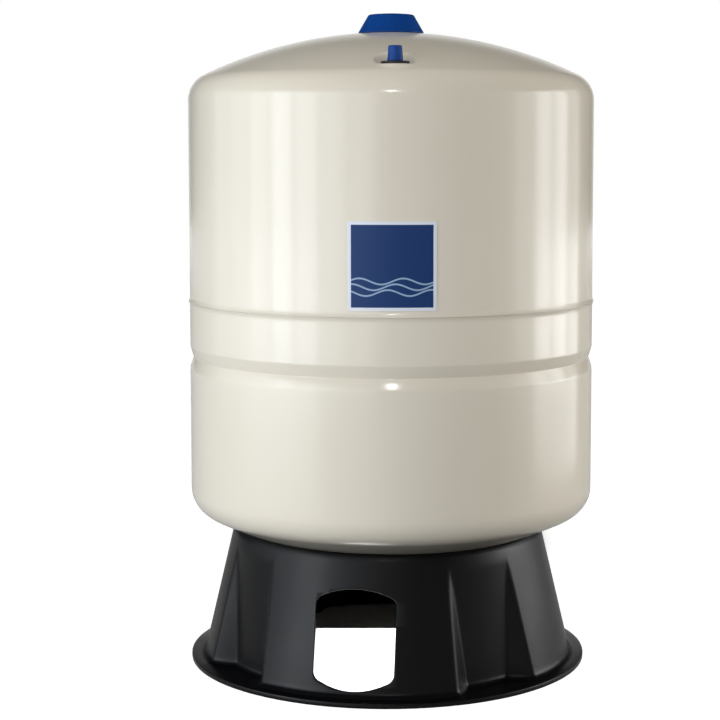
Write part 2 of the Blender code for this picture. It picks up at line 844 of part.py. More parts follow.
def build_stand(material):
    """The moulded stand: a tapering skirt with four recesses that deepen towards a flared foot."""
    sections = [stand_section(*station) for station in stand_stations()]
    obj = place("stand", mesh_from_sections("stand", sections, False), material)
    mirror = obj.modifiers.new("Mirror", "MIRROR")
    mirror.use_axis = (True, True, False)
    mirror.merge_threshold = 0.00001
    baked(obj)
    seat_follows_dome(obj.data)
    obj.location.x = stand_offset_x
    obj.rotation_euler.z = stand_turn
    inner = stand_top_radius - stand_wall - stand_foot_radius * 0.2
    outer = stand_foot_radius * 1.1
    outline = window_outline()
    sections = [[(x, -depth, z) for x, z in outline] for depth in (inner, outer)]
    window = place("window_cutter", mesh_from_sections("window_cutter", sections, True), None)
    window.location.x = stand_offset_x
    window.rotation_euler.z = window_turn
    cut(obj, as_cutter(window))
    for number, (location, rotation) in enumerate(fixing_places(), 1):
        hole = prism(
            f"stand_hole_{number}", fixing_sides, stand_hole_radius, -0.012, 0.002, None, location, rotation
        )
        cut(obj, as_cutter(hole))
    return obj


def fixing_places():
    """Location and rotation of each fixing, square to the dome's underside."""
    for angle in fixing_angles:
        turn = angle + stand_turn - math.pi / 2
        x = fixing_radius * math.cos(turn) + stand_offset_x
        y = fixing_radius * math.sin(turn)
        from_axis = math.hypot(x, y)
        slope = math.asin(from_axis / crown_radius)
        yield (x, y, lower_z(from_axis)), (0, -slope, math.atan2(y, x))


def build_fixings(steel, plated):
    """Welded studs with a washer and a nut each, drawn down from the dome's surface."""
    washer_top = -(stand_seat_wall + 3 * gap)
    nut_top = washer_top - washer_height - gap
    stud_end = nut_top - nut_height - stud_tail
    bore = stud_radius + gap
    for number, (location, rotation) in enumerate(fixing_places(), 1):
        stud = prism(
            f"stand_stud_{number}", fixing_sides, stud_radius, stud_end, -2 * gap, steel, location, rotation
        )
        shade(stud)
        ring(
            f"stand_washer_{number}", bore, washer_radius, washer_top - washer_height, washer_top,
            fixing_sides, plated, location, rotation
        )
        build_nut(
            f"stand_nut_{number}", nut_across_flats, bore, nut_top - nut_height, nut_top,
            fixing_sides, plated, location, rotation
        )


clear_scene()
parts = new_collection("pressure_tank")
cutters = new_collection("cutters")

cream_paint = finish("cream_paint", "E4E0D6", 0.28)
black_plastic = finish("black_plastic", "1B1B1C", 0.42)
blue_plastic = finish("blue_plastic", "1B4C97", 0.35)
label_film = finish("label_film", "1E3C6C", 0.35)
bare_steel = finish("bare_steel", "8C8C8A", 0.40, 1.0)
stainless = finish("stainless", "B4B2AC", 0.30, 1.0)
zinc_plate = finish("zinc_plate", "A9ABAC", 0.35, 1.0)
brass = finish("brass", "B6924A", 0.30, 1.0)
black_rubber = finish("black_rubber", "141414", 0.70)
butyl = finish("butyl", "1C1B1A", 0.60)
liner_plastic = finish("liner_plastic", "D9DEDD", 0.45)

build_upper_shell(cream_paint)
build_lower_shell(cream_paint)
build_liner(liner_plastic)
build_diaphragm(butyl)
build_clinch_ring(bare_steel)

build_water_connection(stainless)
ring(
    "connection_gasket", port_hole_radius, port_flange_radius - gap, port_gasket_z,
    port_gasket_z + port_gasket_height, port_sides, black_rubber
)
ring(
    "connection_washer", port_hole_radius, port_flange_radius, port_washer_z - port_washer_height,
    port_washer_z, port_sides, stainless
)
build_nut(
    "connection_nut", port_nut_across_flats, port_hole_radius, port_nut_z - port_nut_height, port_nut_z,
    port_sides, stainless
)

build_top_boss(bare_steel)
build_top_cap(blue_plastic)

build_valve_boss(bare_steel)
ring(
    "valve_disc", valve_boss_radius + gap, valve_disc_radius, disc_z, disc_top_z, valve_sides, black_rubber,
    (valve_x, valve_y, 0)
)
build_valve_body(brass)
build_valve_core(brass)
build_valve_pin(brass)
build_valve_spring(stainless)
build_valve_cap(blue_plastic)
ring(
    "valve_cap_seal", valve_stem_radius + gap, valve_collar_radius, valve_seal_z,
    valve_seal_z + valve_seal_height, valve_sides, black_rubber, (valve_x, valve_y, 0)
)

build_label(label_film)
build_stand(black_plastic)
build_fixings(bare_steel, zinc_plate)
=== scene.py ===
# %% [markdown]
# # An upright pressure tank
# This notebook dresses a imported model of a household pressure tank: a cream painted steel vessel on
# a black moulded stand, with two blue caps. The model's frame is loaded first. Fine surfaces, finishes,
# studio lamps and a camera are then built round it, all in metres and in the model's own frame.

# %% Load the frame
import math

import bmesh
import bpy
from mathutils import Matrix, Vector


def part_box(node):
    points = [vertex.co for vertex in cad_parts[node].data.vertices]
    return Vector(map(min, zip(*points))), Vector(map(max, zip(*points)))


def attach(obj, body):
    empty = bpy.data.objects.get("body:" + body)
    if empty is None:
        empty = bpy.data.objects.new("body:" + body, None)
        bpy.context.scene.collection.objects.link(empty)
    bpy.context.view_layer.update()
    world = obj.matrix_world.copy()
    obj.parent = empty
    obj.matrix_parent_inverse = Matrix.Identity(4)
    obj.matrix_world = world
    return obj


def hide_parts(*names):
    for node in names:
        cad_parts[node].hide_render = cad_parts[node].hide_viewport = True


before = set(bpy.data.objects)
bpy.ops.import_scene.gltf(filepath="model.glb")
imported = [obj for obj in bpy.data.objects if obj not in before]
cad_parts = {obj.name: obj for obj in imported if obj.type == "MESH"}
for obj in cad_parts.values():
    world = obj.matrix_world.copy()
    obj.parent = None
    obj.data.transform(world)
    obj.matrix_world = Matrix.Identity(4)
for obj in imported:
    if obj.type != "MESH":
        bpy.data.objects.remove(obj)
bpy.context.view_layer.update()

# %% [markdown]
# ## Units and colour
# Sizes on a drawing are in millimetres and Blender works in metres, so one constant turns one into
# the other. Colours are picked as sRGB hex values, as on a screen. Cycles mixes light in linear
# numbers, so one function does the change.

# %% Units and colour
MM = 0.001
CREAM = "E3DAC8"


def linear(hex_colour):
    """The linear RGBA of an sRGB hex colour."""
    channels = [int(hex_colour[i : i + 2], 16) / 255 for i in (0, 2, 4)]
    values = [c / 12.92 if c <= 0.04045 else ((c + 0.055) / 1.055) ** 2.4 for c in channels]
    return (*values, 1.0)


print("cream in linear numbers:", [round(v, 3) for v in linear(CREAM)])

# %% [markdown]
# ## Materials are small node trees
# Each finish below starts as a Principled BSDF. One helper adds a node with its settings and its
# links, so that a finish reads as a short list of what it is made from.


# %% Helpers for finishes
def finish(name, colour, roughness, metallic=0.0, ior=None, specular=0.5):
    """A material with a Principled BSDF, and its tree and shader."""
    material = bpy.data.materials.new(name)
    material.use_nodes = True
    tree = material.node_tree
    shader = tree.nodes["Principled BSDF"]
    shader.inputs["Base Color"].default_value = linear(colour)
    shader.inputs["Roughness"].default_value = roughness
    shader.inputs["Metallic"].default_value = metallic
    shader.inputs["Specular IOR Level"].default_value = specular
    if ior is not None:
        shader.inputs["IOR"].default_value = ior
    return material, tree, shader


def add(tree, kind, links=None, **settings):
    """Adds a node: settings are its properties or socket values, links are socket to output."""
    node = tree.nodes.new(kind)
    for key, value in settings.items():
        if hasattr(node, key):
            setattr(node, key, value)
        else:
            node.inputs[key.replace("_", " ")].default_value = value
    for socket, output in (links or {}).items():
        tree.links.new(output, node.inputs[socket])
    return node


def wear_the(obj, material):
    """Gives an object this finish only."""
    obj.data.materials.clear()
    obj.data.materials.append(material)
    return obj


print("helpers ready:", finish.__name__, add.__name__, wear_the.__name__)

# %% [markdown]
# ## Powder-coated steel
# The tank is steel with an epoxy-polyester powder coat. The powder melts and flows in the oven, and
# keeps a faint orange peel, waves 3 to 6 mm across and a few microns high. It makes a sharp lamp's
# reflection waver a little. The coat is smooth plastic, so its IOR is near 1.5.

# %% Powder coat
PEEL_MM = 4.0
PEEL_HIGH = 0.05 * MM
CLOUDS_PER_METRE = 9.0


def powder_coat(name, colour, roughness):
    """Oven-cured powder coat with a faint orange peel."""
    material, tree, shader = finish(name, colour, roughness, ior=1.5)
    place = add(tree, "ShaderNodeTexCoord")
    peel = add(
        tree, "ShaderNodeTexNoise", {"Vector": place.outputs["Object"]},
        Scale=1 / (PEEL_MM * MM), Detail=1.5, Roughness=0.45,
    )
    cloud = add(
        tree, "ShaderNodeTexNoise", {"Vector": place.outputs["Object"]}, Scale=CLOUDS_PER_METRE, Detail=2.0
    )
    gloss = add(
        tree, "ShaderNodeMapRange", {"Value": cloud.outputs["Fac"]},
        From_Min=0.3, From_Max=0.7, To_Min=roughness - 0.02, To_Max=roughness + 0.03,
    )
    bump = add(tree, "ShaderNodeBump", {"Height": peel.outputs["Fac"]}, Strength=0.06, Distance=PEEL_HIGH)
    tree.links.new(gloss.outputs["Result"], shader.inputs["Roughness"])
    tree.links.new(bump.outputs["Normal"], shader.inputs["Normal"])
    return material


cream_coat = powder_coat("cream_powder_coat", CREAM, 0.17)
print("finish:", cream_coat.name)

# %% [markdown]
# ## Moulded polypropylene
# The stand is injection moulded from black polypropylene in a spark-eroded mould, which leaves a
# fine matt grain of about half a millimetre. The grain is drawn at 0.9 mm, because a finer one
# would be lost between the pixels. The grain scatters part of what the plastic mirrors, so the
# specular level is matched below the usual 0.5, which keeps the black deep. The caps are the same
# plastic in blue from a smoother mould, and the liner inside is left in its natural milky white.

# %% Moulded plastics
GRAIN_MM = 0.9
GRAIN_HIGH = 0.06 * MM
FLOW_PER_METRE = 14.0


def moulded_plastic(name, colour, roughness, grain_strength, specular=0.5):
    """Polypropylene with the grain that its mould left."""
    material, tree, shader = finish(name, colour, roughness, ior=1.49, specular=specular)
    place = add(tree, "ShaderNodeTexCoord")
    grain = add(
        tree, "ShaderNodeTexNoise", {"Vector": place.outputs["Object"]},
        Scale=1 / (GRAIN_MM * MM), Detail=2.0, Roughness=0.5,
    )
    flow = add(
        tree, "ShaderNodeTexNoise", {"Vector": place.outputs["Object"]}, Scale=FLOW_PER_METRE, Detail=3.0
    )
    gloss = add(
        tree, "ShaderNodeMapRange", {"Value": flow.outputs["Fac"]},
        From_Min=0.3, From_Max=0.7, To_Min=roughness - 0.04, To_Max=roughness + 0.05,
    )
    bump = add(
        tree, "ShaderNodeBump", {"Height": grain.outputs["Fac"]}, Strength=grain_strength, Distance=GRAIN_HIGH
    )
    tree.links.new(gloss.outputs["Result"], shader.inputs["Roughness"])
    tree.links.new(bump.outputs["Normal"], shader.inputs["Normal"])
    return material


black_polypropylene = moulded_plastic("black_polypropylene", "08080A", 0.34, 0.35, specular=0.16)
blue_polypropylene = moulded_plastic("blue_polypropylene", "0C3F86", 0.45, 0.12, specular=0.2)
white_polypropylene = moulded_plastic("natural_polypropylene", "D9DEDD", 0.45, 0.15)
print("finishes:", black_polypropylene.name, blue_polypropylene.name, white_polypropylene.name)

# %% [markdown]
# ## Rubber and metals
# The disc under the valve and the seals are black rubber. The diaphragm is butyl, a little greyer.
# The valve is turned brass and the water connection is turned stainless steel: a lathe leaves fine
# rings round the axis. They are drawn as a wave in roughness, a few millimetres apart, because the
# real ones would be too fine to show. The stand's fixings are zinc plated.

# %% Rubber and metals
BLOOM_PER_METRE = 220.0
BLOOM_HIGH = 0.1 * MM
RADIANS_AT_SCALE_1 = 20


def rubber(name, colour, roughness):
    """Moulded rubber with a dusty bloom."""
    material, tree, shader = finish(name, colour, roughness, ior=1.52)
    place = add(tree, "ShaderNodeTexCoord")
    bloom = add(
        tree, "ShaderNodeTexNoise", {"Vector": place.outputs["Object"]}, Scale=BLOOM_PER_METRE, Detail=3.0
    )
    bump = add(tree, "ShaderNodeBump", {"Height": bloom.outputs["Fac"]}, Strength=0.2, Distance=BLOOM_HIGH)
    tree.links.new(bump.outputs["Normal"], shader.inputs["Normal"])
    return material


def worked_metal(name, colour, roughness, ring_mm):
    """Metal with the rings of its making, drawn 2 pi times this size apart."""
    material, tree, shader = finish(name, colour, roughness, metallic=1.0)
    place = add(tree, "ShaderNodeTexCoord")
    marks = add(
        tree, "ShaderNodeTexWave", {"Vector": place.outputs["Object"]},
        bands_direction="Z", Scale=1 / (ring_mm * MM) / RADIANS_AT_SCALE_1, Distortion=0.6, Detail=2.0,
    )
    gloss = add(
        tree, "ShaderNodeMapRange", {"Value": marks.outputs["Fac"]},
        To_Min=roughness - 0.06, To_Max=roughness + 0.08,
    )
    tree.links.new(gloss.outputs["Result"], shader.inputs["Roughness"])
    return material


black_rubber = rubber("moulded_black_rubber", "141416", 0.6)
butyl = rubber("butyl_rubber", "1F1E1D", 0.55)
turned_brass = worked_metal("turned_brass", "C6A15A", 0.28, 0.5)
turned_stainless = worked_metal("turned_stainless_steel", "BDBBB6", 0.28, 0.6)
mild_steel = worked_metal("mild_steel", "8E8C88", 0.4, 0.8)
zinc_plate = worked_metal("zinc_plated_steel", "B4B8BC", 0.34, 0.7)
metals = (turned_brass, turned_stainless, mild_steel, zinc_plate)
print("finishes:", [m.name for m in (black_rubber, butyl, *metals)])

# %% [markdown]
# ## The tank's form
# Both ends are pressed in one tool: a wide crown and a tight knuckle that meet smoothly, the
# torispherical end of most pressure vessels. A profile is a list of radius and height, spun round
# the axis. Fine steps make the knuckle's highlight run without a corner.

# %% Sizes of the tank
BODY_R = 193.6 * MM
CROWN_R = 412.3 * MM
KNUCKLE_R = 26.5 * MM
UPPER_Z = 536.8 * MM
LOWER_Z = 166.4 * MM
SHELL_WALL = 1.2 * MM
SEAM_Z = 348.8 * MM
BEAD_HALF = 2.8 * MM
BEAD_PROUD = 1.5 * MM
BEAD_EDGE = 0.4 * MM
SEAM_GAP = 0.12 * MM
LOWER_FLARE = 4.5 * MM
GROOVE_Z = 292.8 * MM
GROOVE_HALF = 11.5 * MM
GROOVE_DEEP = 3.8 * MM
TANGENT = math.asin((BODY_R - KNUCKLE_R) / (CROWN_R - KNUCKLE_R))


def dome_rise(radius):
    """Height of the dome above its tangent plane, at a distance from the axis."""
    centre = BODY_R - KNUCKLE_R
    if radius < centre + KNUCKLE_R * math.sin(TANGENT):
        return math.sqrt(CROWN_R**2 - radius**2) - (CROWN_R - KNUCKLE_R) * math.cos(TANGENT)
    reach = min(radius - centre, KNUCKLE_R)
    return math.sqrt(KNUCKLE_R**2 - reach**2)


def dome_profile(first_radius, crown_steps, knuckle_steps):
    """(radius, rise) points of the dome from near the axis to the straight side."""
    start = math.asin(first_radius / CROWN_R)
    points = []
    for i in range(crown_steps):
        angle = start + (TANGENT - start) * i / crown_steps
        points.append((CROWN_R * math.sin(angle), dome_rise(CROWN_R * math.sin(angle))))
    for i in range(knuckle_steps + 1):
        angle = TANGENT + (math.pi / 2 - TANGENT) * i / knuckle_steps
        radius = BODY_R - KNUCKLE_R + KNUCKLE_R * math.sin(angle)
        points.append((radius, KNUCKLE_R * math.cos(angle)))
    return points


print("crown height above the side:", round(dome_rise(0) / MM, 1), "mm")


# %% [markdown]
# ## From profile to mesh
# A spun mesh needs a ring of vertices for each point of the profile, joined by quads. The angles are
# given, because the rings are packed closer where the air valve's seat is pressed into the dome.


# %% Spin a profile
TINY = 1e-7


def mesh_object(name, verts, faces):
    """A smooth mesh object from points and faces."""
    mesh = bpy.data.meshes.new(name)
    mesh.from_pydata(verts, [], faces)
    bm = bmesh.new()
    bm.from_mesh(mesh)
    bmesh.ops.remove_doubles(bm, verts=bm.verts, dist=TINY)
    bmesh.ops.recalc_face_normals(bm, faces=bm.faces)
    bm.to_mesh(mesh)
    bm.free()
    mesh.shade_smooth()
    obj = bpy.data.objects.new(name, mesh)
    bpy.context.scene.collection.objects.link(obj)
    return obj


def spin(name, profile, angles, shift=(0.0, 0.0), closed=True, shape=None):
    """Spins (radius, height) points about an upright axis; shape may move each point."""
    verts = []
    for radius, height in profile:
        for angle in angles:
            point = (shift[0] + radius * math.cos(angle), shift[1] + radius * math.sin(angle), height)
            verts.append(shape(point) if shape else point)
    faces = []
    count = len(angles)
    rows = len(profile)
    for i in range(rows if closed else rows - 1):
        for j in range(count):
            k = (j + 1) % count
            a, b = i * count, (i + 1) % rows * count
            faces.append((a + j, a + k, b + k, b + j))
    return mesh_object(name, verts, faces)


def even_angles(count):
    """Angles spread evenly round a full turn."""
    return [2 * math.pi * i / count for i in range(count)]


def rounded(profile, radius, steps=4):
    """Rounds each corner of a closed profile by a small curve."""
    result = []
    count = len(profile)
    for i in range(count):
        corner = Vector(profile[i])
        before = Vector(profile[i - 1]) - corner
        after = Vector(profile[(i + 1) % count]) - corner
        if profile[i][0] <= TINY or min(before.length, after.length) < TINY:
            result.append(tuple(corner))
            continue
        reach = min(radius, 0.45 * before.length, 0.45 * after.length)
        start = corner + before.normalized() * reach
        end = corner + after.normalized() * reach
        for k in range(steps + 1):
            t = k / steps
            result.append(tuple(start * (1 - t) ** 2 + corner * 2 * t * (1 - t) + end * t**2))
    return result


print("a square with its corners rounded has", len(rounded([(1, 0), (2, 0), (2, 1), (1, 1)], 0.1)), "points")

# %% [markdown]
# ## The upper half
# It is one pressing: dome, knuckle and straight side down to the weld. On the front of the dome a
# level seat is pressed in for the air valve: its back is a small hollow and its front edge stands a
# little proud. The vertices are packed closely there, and a function moves each down to the seat.

# %% The valve's seat
VALVE_R = 160.0 * MM
VALVE_TURN = math.radians(1.29)
VALVE_X = VALVE_R * math.sin(VALVE_TURN)
VALVE_Y = -VALVE_R * math.cos(VALVE_TURN)
SEAT_R = 13.8 * MM
SEAT_BLEND = 5.8 * MM
SEAT_SINK = 4.0 * MM
SEAT_Z = UPPER_Z + dome_rise(VALVE_R) - SEAT_SINK
FINE_SPREAD = math.radians(8.5)
FINE_COUNT = 68
COARSE_COUNT = 228


def press_seat(point):
    """Presses the valve's level seat into a point of the dome."""
    x, y, z = point
    distance = math.hypot(x - VALVE_X, y - VALVE_Y)
    if distance > SEAT_R + SEAT_BLEND or z < UPPER_Z:
        return point
    share = min(1.0, (SEAT_R + SEAT_BLEND - distance) / SEAT_BLEND)
    share = share * share * (3 - 2 * share)
    depth = dome_rise(math.hypot(x, y)) + UPPER_Z - SEAT_Z
    return (x, y, z - share * depth)


def angles_round_valve():
    """Angles of the vertices: 1.5 degrees apart, and 0.25 degrees near the valve."""
    middle = math.atan2(VALVE_Y, VALVE_X)
    fine = [middle - FINE_SPREAD + 2 * FINE_SPREAD * i / FINE_COUNT for i in range(FINE_COUNT)]
    rest = 2 * math.pi - 2 * FINE_SPREAD
    coarse = [middle + FINE_SPREAD + rest * i / COARSE_COUNT for i in range(COARSE_COUNT)]
    return fine + coarse


print("level of the valve's seat:", round(SEAT_Z / MM, 1), "mm")

# %% [markdown]
# ## The weld bead
# The two halves are welded edge to edge, and the bead shows as a thin ridge with a soft line of
# shade below it. It is drawn as a flare of the upper half's edge that ends in a small rounded lip,
# with a hair's gap to the lower half. A ridge of its own would need a third piece and look no better.

# %% Upper shell
BOSS_HOLE_R = 12.3 * MM
CROWN_RINGS = 60
KNUCKLE_RINGS = 28
SEAT_RINGS = 44
SIDE_RINGS = 12
BEAD_RINGS = 16
EDGE_RINGS = 4
SEAT_BAND_MARGIN = 14.0 * MM
BEAD_CLEAR = 4.0 * MM
BEAD_LEAD = 1.2 * MM


def upper_profile():
    """Dome, knuckle and straight side, with rings 1 mm apart across the valve's seat."""
    points = dome_profile(BOSS_HOLE_R, CROWN_RINGS, KNUCKLE_RINGS)
    band = (VALVE_R - SEAT_R - SEAT_BLEND, BODY_R - SEAT_BAND_MARGIN)
    points = [p for p in points if not band[0] < p[0] < band[1]]
    for i in range(SEAT_RINGS + 1):
        radius = band[0] + (band[1] - band[0]) * i / SEAT_RINGS
        points.append((radius, dome_rise(radius)))
    points = [(r, UPPER_Z + rise) for r, rise in sorted(points)]
    top = SEAM_Z + BEAD_HALF
    bottom = SEAM_Z - BEAD_HALF
    for i in range(1, SIDE_RINGS):
        points.append((BODY_R, UPPER_Z + (top + BEAD_CLEAR - UPPER_Z) * i / SIDE_RINGS))
    points.append((BODY_R, top + BEAD_LEAD))
    for i in range(BEAD_RINGS + 1):
        share = i / BEAD_RINGS
        points.append((BODY_R + BEAD_PROUD * share**2, top - (top - bottom - BEAD_EDGE) * share))
    for i in range(1, EDGE_RINGS + 1):
        turn = math.pi / 2 * i / EDGE_RINGS
        inset = BEAD_EDGE * (1 - math.cos(turn))
        points.append((BODY_R + BEAD_PROUD - inset, bottom + BEAD_EDGE * (1 - math.sin(turn))))
    return points


def with_wall(profile, wall):
    """Closes an open profile by an inner side at a wall's thickness."""
    inner = []
    count = len(profile)
    for i, (radius, height) in enumerate(profile):
        before = Vector(profile[max(i - 1, 0)])
        after = Vector(profile[min(i + 1, count - 1)])
        run = (after - before).normalized()
        inner.append((max(radius + run.y * wall, 0.0), height - run.x * wall))
    return profile + inner[::-1]


upper_shell = spin(
    "upper_shell_coated", with_wall(upper_profile(), SHELL_WALL), angles_round_valve(), shape=press_seat
)
wear_the(upper_shell, cream_coat)
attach(upper_shell, "tank")
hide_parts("upper_shell")
print("upper shell:", len(upper_shell.data.polygons), "faces")

# %% [markdown]
# ## The lower half
# The same dome, upside down, with a groove rolled round its side. The groove clamps the rubber
# diaphragm inside. It is a shallow valley with soft shoulders: its upper slope looks down and
# darkens, and its lower slope looks up and catches the light. Its top edge flares out a little to
# meet the weld bead.

# %% Lower shell
GROOVE_SOFT = 0.12
GROOVE_HOLLOW = 0.35
LIP_PROUD = 0.72 * BEAD_PROUD
LIP_START = 0.55 * BEAD_PROUD
LIP_EDGE = 0.15 * MM
FLARE_RINGS = 10
GROOVE_RINGS = 60
GROOVE_REACH = 1.3 * GROOVE_HALF
PIPE_SEAT_R = 34.0 * MM
PIPE_HOLE_R = 16.9 * MM


def groove_depth(height):
    """Depth of the rolled groove at a height."""
    t = min(1.0, abs(height - GROOVE_Z) / GROOVE_HALF)
    valley = math.sqrt((1 - t) ** 2 + GROOVE_SOFT**2) - GROOVE_SOFT
    return GROOVE_DEEP * valley * (1 - GROOVE_HOLLOW * t * (1 - t))


def lower_profile():
    """Side below the weld, groove, knuckle, dome and flat seat of the water connection."""
    top = SEAM_Z - BEAD_HALF - SEAM_GAP
    points = [(BODY_R + LIP_START, top), (BODY_R + LIP_PROUD, top - LIP_EDGE)]
    for i in range(1, FLARE_RINGS + 1):
        share = 1 - i / FLARE_RINGS
        points.append((BODY_R + LIP_PROUD * share**2, top - LIP_EDGE - LOWER_FLARE * (1 - share)))
    start = points[-1][1]
    span = (GROOVE_Z + GROOVE_REACH, GROOVE_Z - GROOVE_REACH)
    for i in range(1, 8):
        points.append((BODY_R, start + (span[0] - start) * i / 8))
    for i in range(GROOVE_RINGS + 1):
        height = span[0] + (span[1] - span[0]) * i / GROOVE_RINGS
        points.append((BODY_R - groove_depth(height), height))
    for i in range(1, SIDE_RINGS):
        points.append((BODY_R, span[1] + (LOWER_Z - span[1]) * i / SIDE_RINGS))
    dome = dome_profile(PIPE_SEAT_R, 40, KNUCKLE_RINGS)
    points += [(r, LOWER_Z - rise) for r, rise in reversed(dome)]
    points.append((PIPE_HOLE_R, points[-1][1]))
    return points


lower_shell = spin("lower_shell_coated", with_wall(lower_profile(), SHELL_WALL), even_angles(256))
wear_the(lower_shell, cream_coat)
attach(lower_shell, "tank")
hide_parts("lower_shell")
print("lower shell:", len(lower_shell.data.polygons), "faces")

# %% [markdown]
# ## The cap in the middle of the dome
# A conical cap, moulded in blue, covers a welded boss. Its wall is thin and its top is a little
# domed, so that water runs off. A short sleeve inside grips the boss. Its edges are rounded by the
# mould. It is round, so one outline spun about the axis makes it.

# %% Top cap
boss_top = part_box("top_boss")[1].z
cap_rim, cap_top = (corner.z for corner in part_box("top_cap"))
CAP_R = 31.2 * MM
CAP_TOP_R = 22.2 * MM
CAP_WALL = 1.8 * MM
CAP_LIP = 1.0 * MM
CAP_CROWN = 1.2 * MM
CAP_ROOF = 4.8 * MM
SLEEVE_R = 13.9 * MM
SLEEVE_DROP = 3.0 * MM
BOSS_ROOM = 0.7 * MM
CAP_ROUND = 1.4 * MM
cap_outline = [
    (0.0, cap_top),
    (CAP_TOP_R / 2, cap_top - CAP_CROWN / 4),
    (CAP_TOP_R - CAP_CROWN / 2, cap_top - CAP_CROWN),
    (CAP_R, cap_rim + CAP_LIP),
    (CAP_R, cap_rim),
    (CAP_R - CAP_WALL, cap_rim),
    (CAP_TOP_R - CAP_CROWN, cap_top - CAP_ROOF),
    (SLEEVE_R, cap_top - CAP_ROOF),
    (SLEEVE_R, boss_top - SLEEVE_DROP),
    (BOSS_HOLE_R, boss_top - SLEEVE_DROP),
    (BOSS_HOLE_R, boss_top + BOSS_ROOM),
    (0.0, boss_top + BOSS_ROOM),
]
top_cap = spin("top_cap_moulded", rounded(cap_outline, CAP_ROUND), even_angles(128), closed=False)
wear_the(top_cap, blue_polypropylene)
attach(top_cap, "top_cap")
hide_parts("top_cap")
print("top cap:", len(top_cap.data.polygons), "faces")

# %% [markdown]
# ## The air valve
# Air is pumped in through a valve like a tyre's. A rubber disc keeps rain out of the seat. The small
# blue cap has fine grips for the fingers, drawn as a shallow wave round its side.

# %% Valve disc
DISC_R = 12.55 * MM
DISC_BORE = 8.3 * MM
DISC_ROUND = 0.6 * MM
disc_foot, disc_top = (corner.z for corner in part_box("valve_disc"))
disc_outline = [(DISC_R, disc_top), (DISC_R, disc_foot), (DISC_BORE, disc_foot), (DISC_BORE, disc_top)]
valve_disc = spin(
    "valve_disc_moulded", rounded(disc_outline, DISC_ROUND), even_angles(96), (VALVE_X, VALVE_Y)
)
wear_the(valve_disc, black_rubber)
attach(valve_disc, "tank")
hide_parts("valve_disc")
print("valve disc:", len(valve_disc.data.polygons), "faces")

# %% Valve cap
GRIPS = 24
GRIP_DEEP = 0.18 * MM
GRIP_SPAN = (0.2, 0.93)
GRIP_FADE = 0.06
GRIP_FROM_R = 5.75 * MM
BODY_TOP_R = 6.1 * MM
BODY_FOOT_R = 6.95 * MM
BODY_STEPS = 24
THREAD_BORE = 5.3 * MM
THREAD_DEEP = 3.8 * MM
PIN_BORE = 4.15 * MM
ROOF = 1.6 * MM
small_base, small_top = (corner.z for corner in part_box("valve_cap"))


def grips(point):
    """Cuts shallow grips into the cap's side, fading out at its base and top."""
    x, y, z = point[0] - VALVE_X, point[1] - VALVE_Y, point[2]
    radius = math.hypot(x, y)
    height = (z - small_base) / (small_top - small_base)
    if radius < GRIP_FROM_R or not GRIP_SPAN[0] < height < GRIP_SPAN[1]:
        return point
    fade = min(1.0, (height - GRIP_SPAN[0]) / GRIP_FADE, (GRIP_SPAN[1] - height) / GRIP_FADE)
    cut = GRIP_DEEP * fade * (0.5 + 0.5 * math.cos(GRIPS * math.atan2(y, x)))
    return (VALVE_X + x * (1 - cut / radius), VALVE_Y + y * (1 - cut / radius), z)


def valve_cap_outline():
    """Outside of the cap from its top down, then its bore back up, with a few points at each edge."""
    base, top = small_base, small_top
    points = [(0.0, top), (5.3 * MM, top), (5.9 * MM, top - 0.35 * MM)]
    for i in range(BODY_STEPS + 1):
        share = i / BODY_STEPS
        radius = BODY_TOP_R + (BODY_FOOT_R - BODY_TOP_R) * share
        points.append((radius, top - 0.9 * MM - (top - base - 1.4 * MM) * share))
    points += [(BODY_FOOT_R, base + 0.25 * MM), (6.8 * MM, base)]
    points += [(THREAD_BORE, base), (THREAD_BORE, base + THREAD_DEEP), (PIN_BORE, base + THREAD_DEEP)]
    points += [(PIN_BORE, top - ROOF), (0.0, top - ROOF)]
    return points


valve_cap = spin(
    "valve_cap_moulded", valve_cap_outline(), even_angles(192), (VALVE_X, VALVE_Y), False, grips
)
wear_the(valve_cap, blue_polypropylene)
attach(valve_cap, "valve_cap")
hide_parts("valve_cap")
print("valve cap:", len(valve_cap.data.polygons), "faces")

# %% [markdown]
# ## The label
# A square vinyl label lies round the front of the upper half. It has a white border and a dark blue
# field, with three thin wavy lines that stand for water and carry no words. The lines are worked out
# from the arc length round the tank, so they bend with the film and need no picture file.

# %% Label finish
LABEL_W = 77.2 * MM
LABEL_H = 77.3 * MM
LABEL_Z = 352.1 * MM
LABEL_TURN = math.radians(0.29)
LABEL_BORDER = 2.9 * MM
WAVE_LONG = 38.0 * MM
WAVE_HIGH = 2.6 * MM
# Each line's height above the label's middle in millimetres, and its phase in radians.
WAVE_LINES = [(-13.0, 0.0), (-18.0, 1.1), (-23.0, 2.2)]
LINE_HALF = 0.7 * MM
FIELD_BLUE = "0E3468"
LINE_BLUE = "A9C4DE"
BORDER_WHITE = "E4E8F0"


def sum_of(tree, operation, source, number):
    """A Math node between an output and a number."""
    node = add(tree, "ShaderNodeMath", {0: source}, operation=operation)
    node.inputs[1].default_value = number
    return node.outputs["Value"]


def label_axes(tree):
    """Distances across and up from the middle of the label, measured along the film."""
    place = add(tree, "ShaderNodeTexCoord")
    axes = add(tree, "ShaderNodeSeparateXYZ", {"Vector": place.outputs["Object"]})
    back = sum_of(tree, "MULTIPLY", axes.outputs["Y"], -1.0)
    turn = add(tree, "ShaderNodeMath", {0: axes.outputs["X"], 1: back}, operation="ARCTAN2")
    turned = sum_of(tree, "SUBTRACT", turn.outputs["Value"], LABEL_TURN)
    across = sum_of(tree, "MULTIPLY", turned, BODY_R)
    up = sum_of(tree, "SUBTRACT", axes.outputs["Z"], LABEL_Z + LABEL_H / 2)
    return across, up


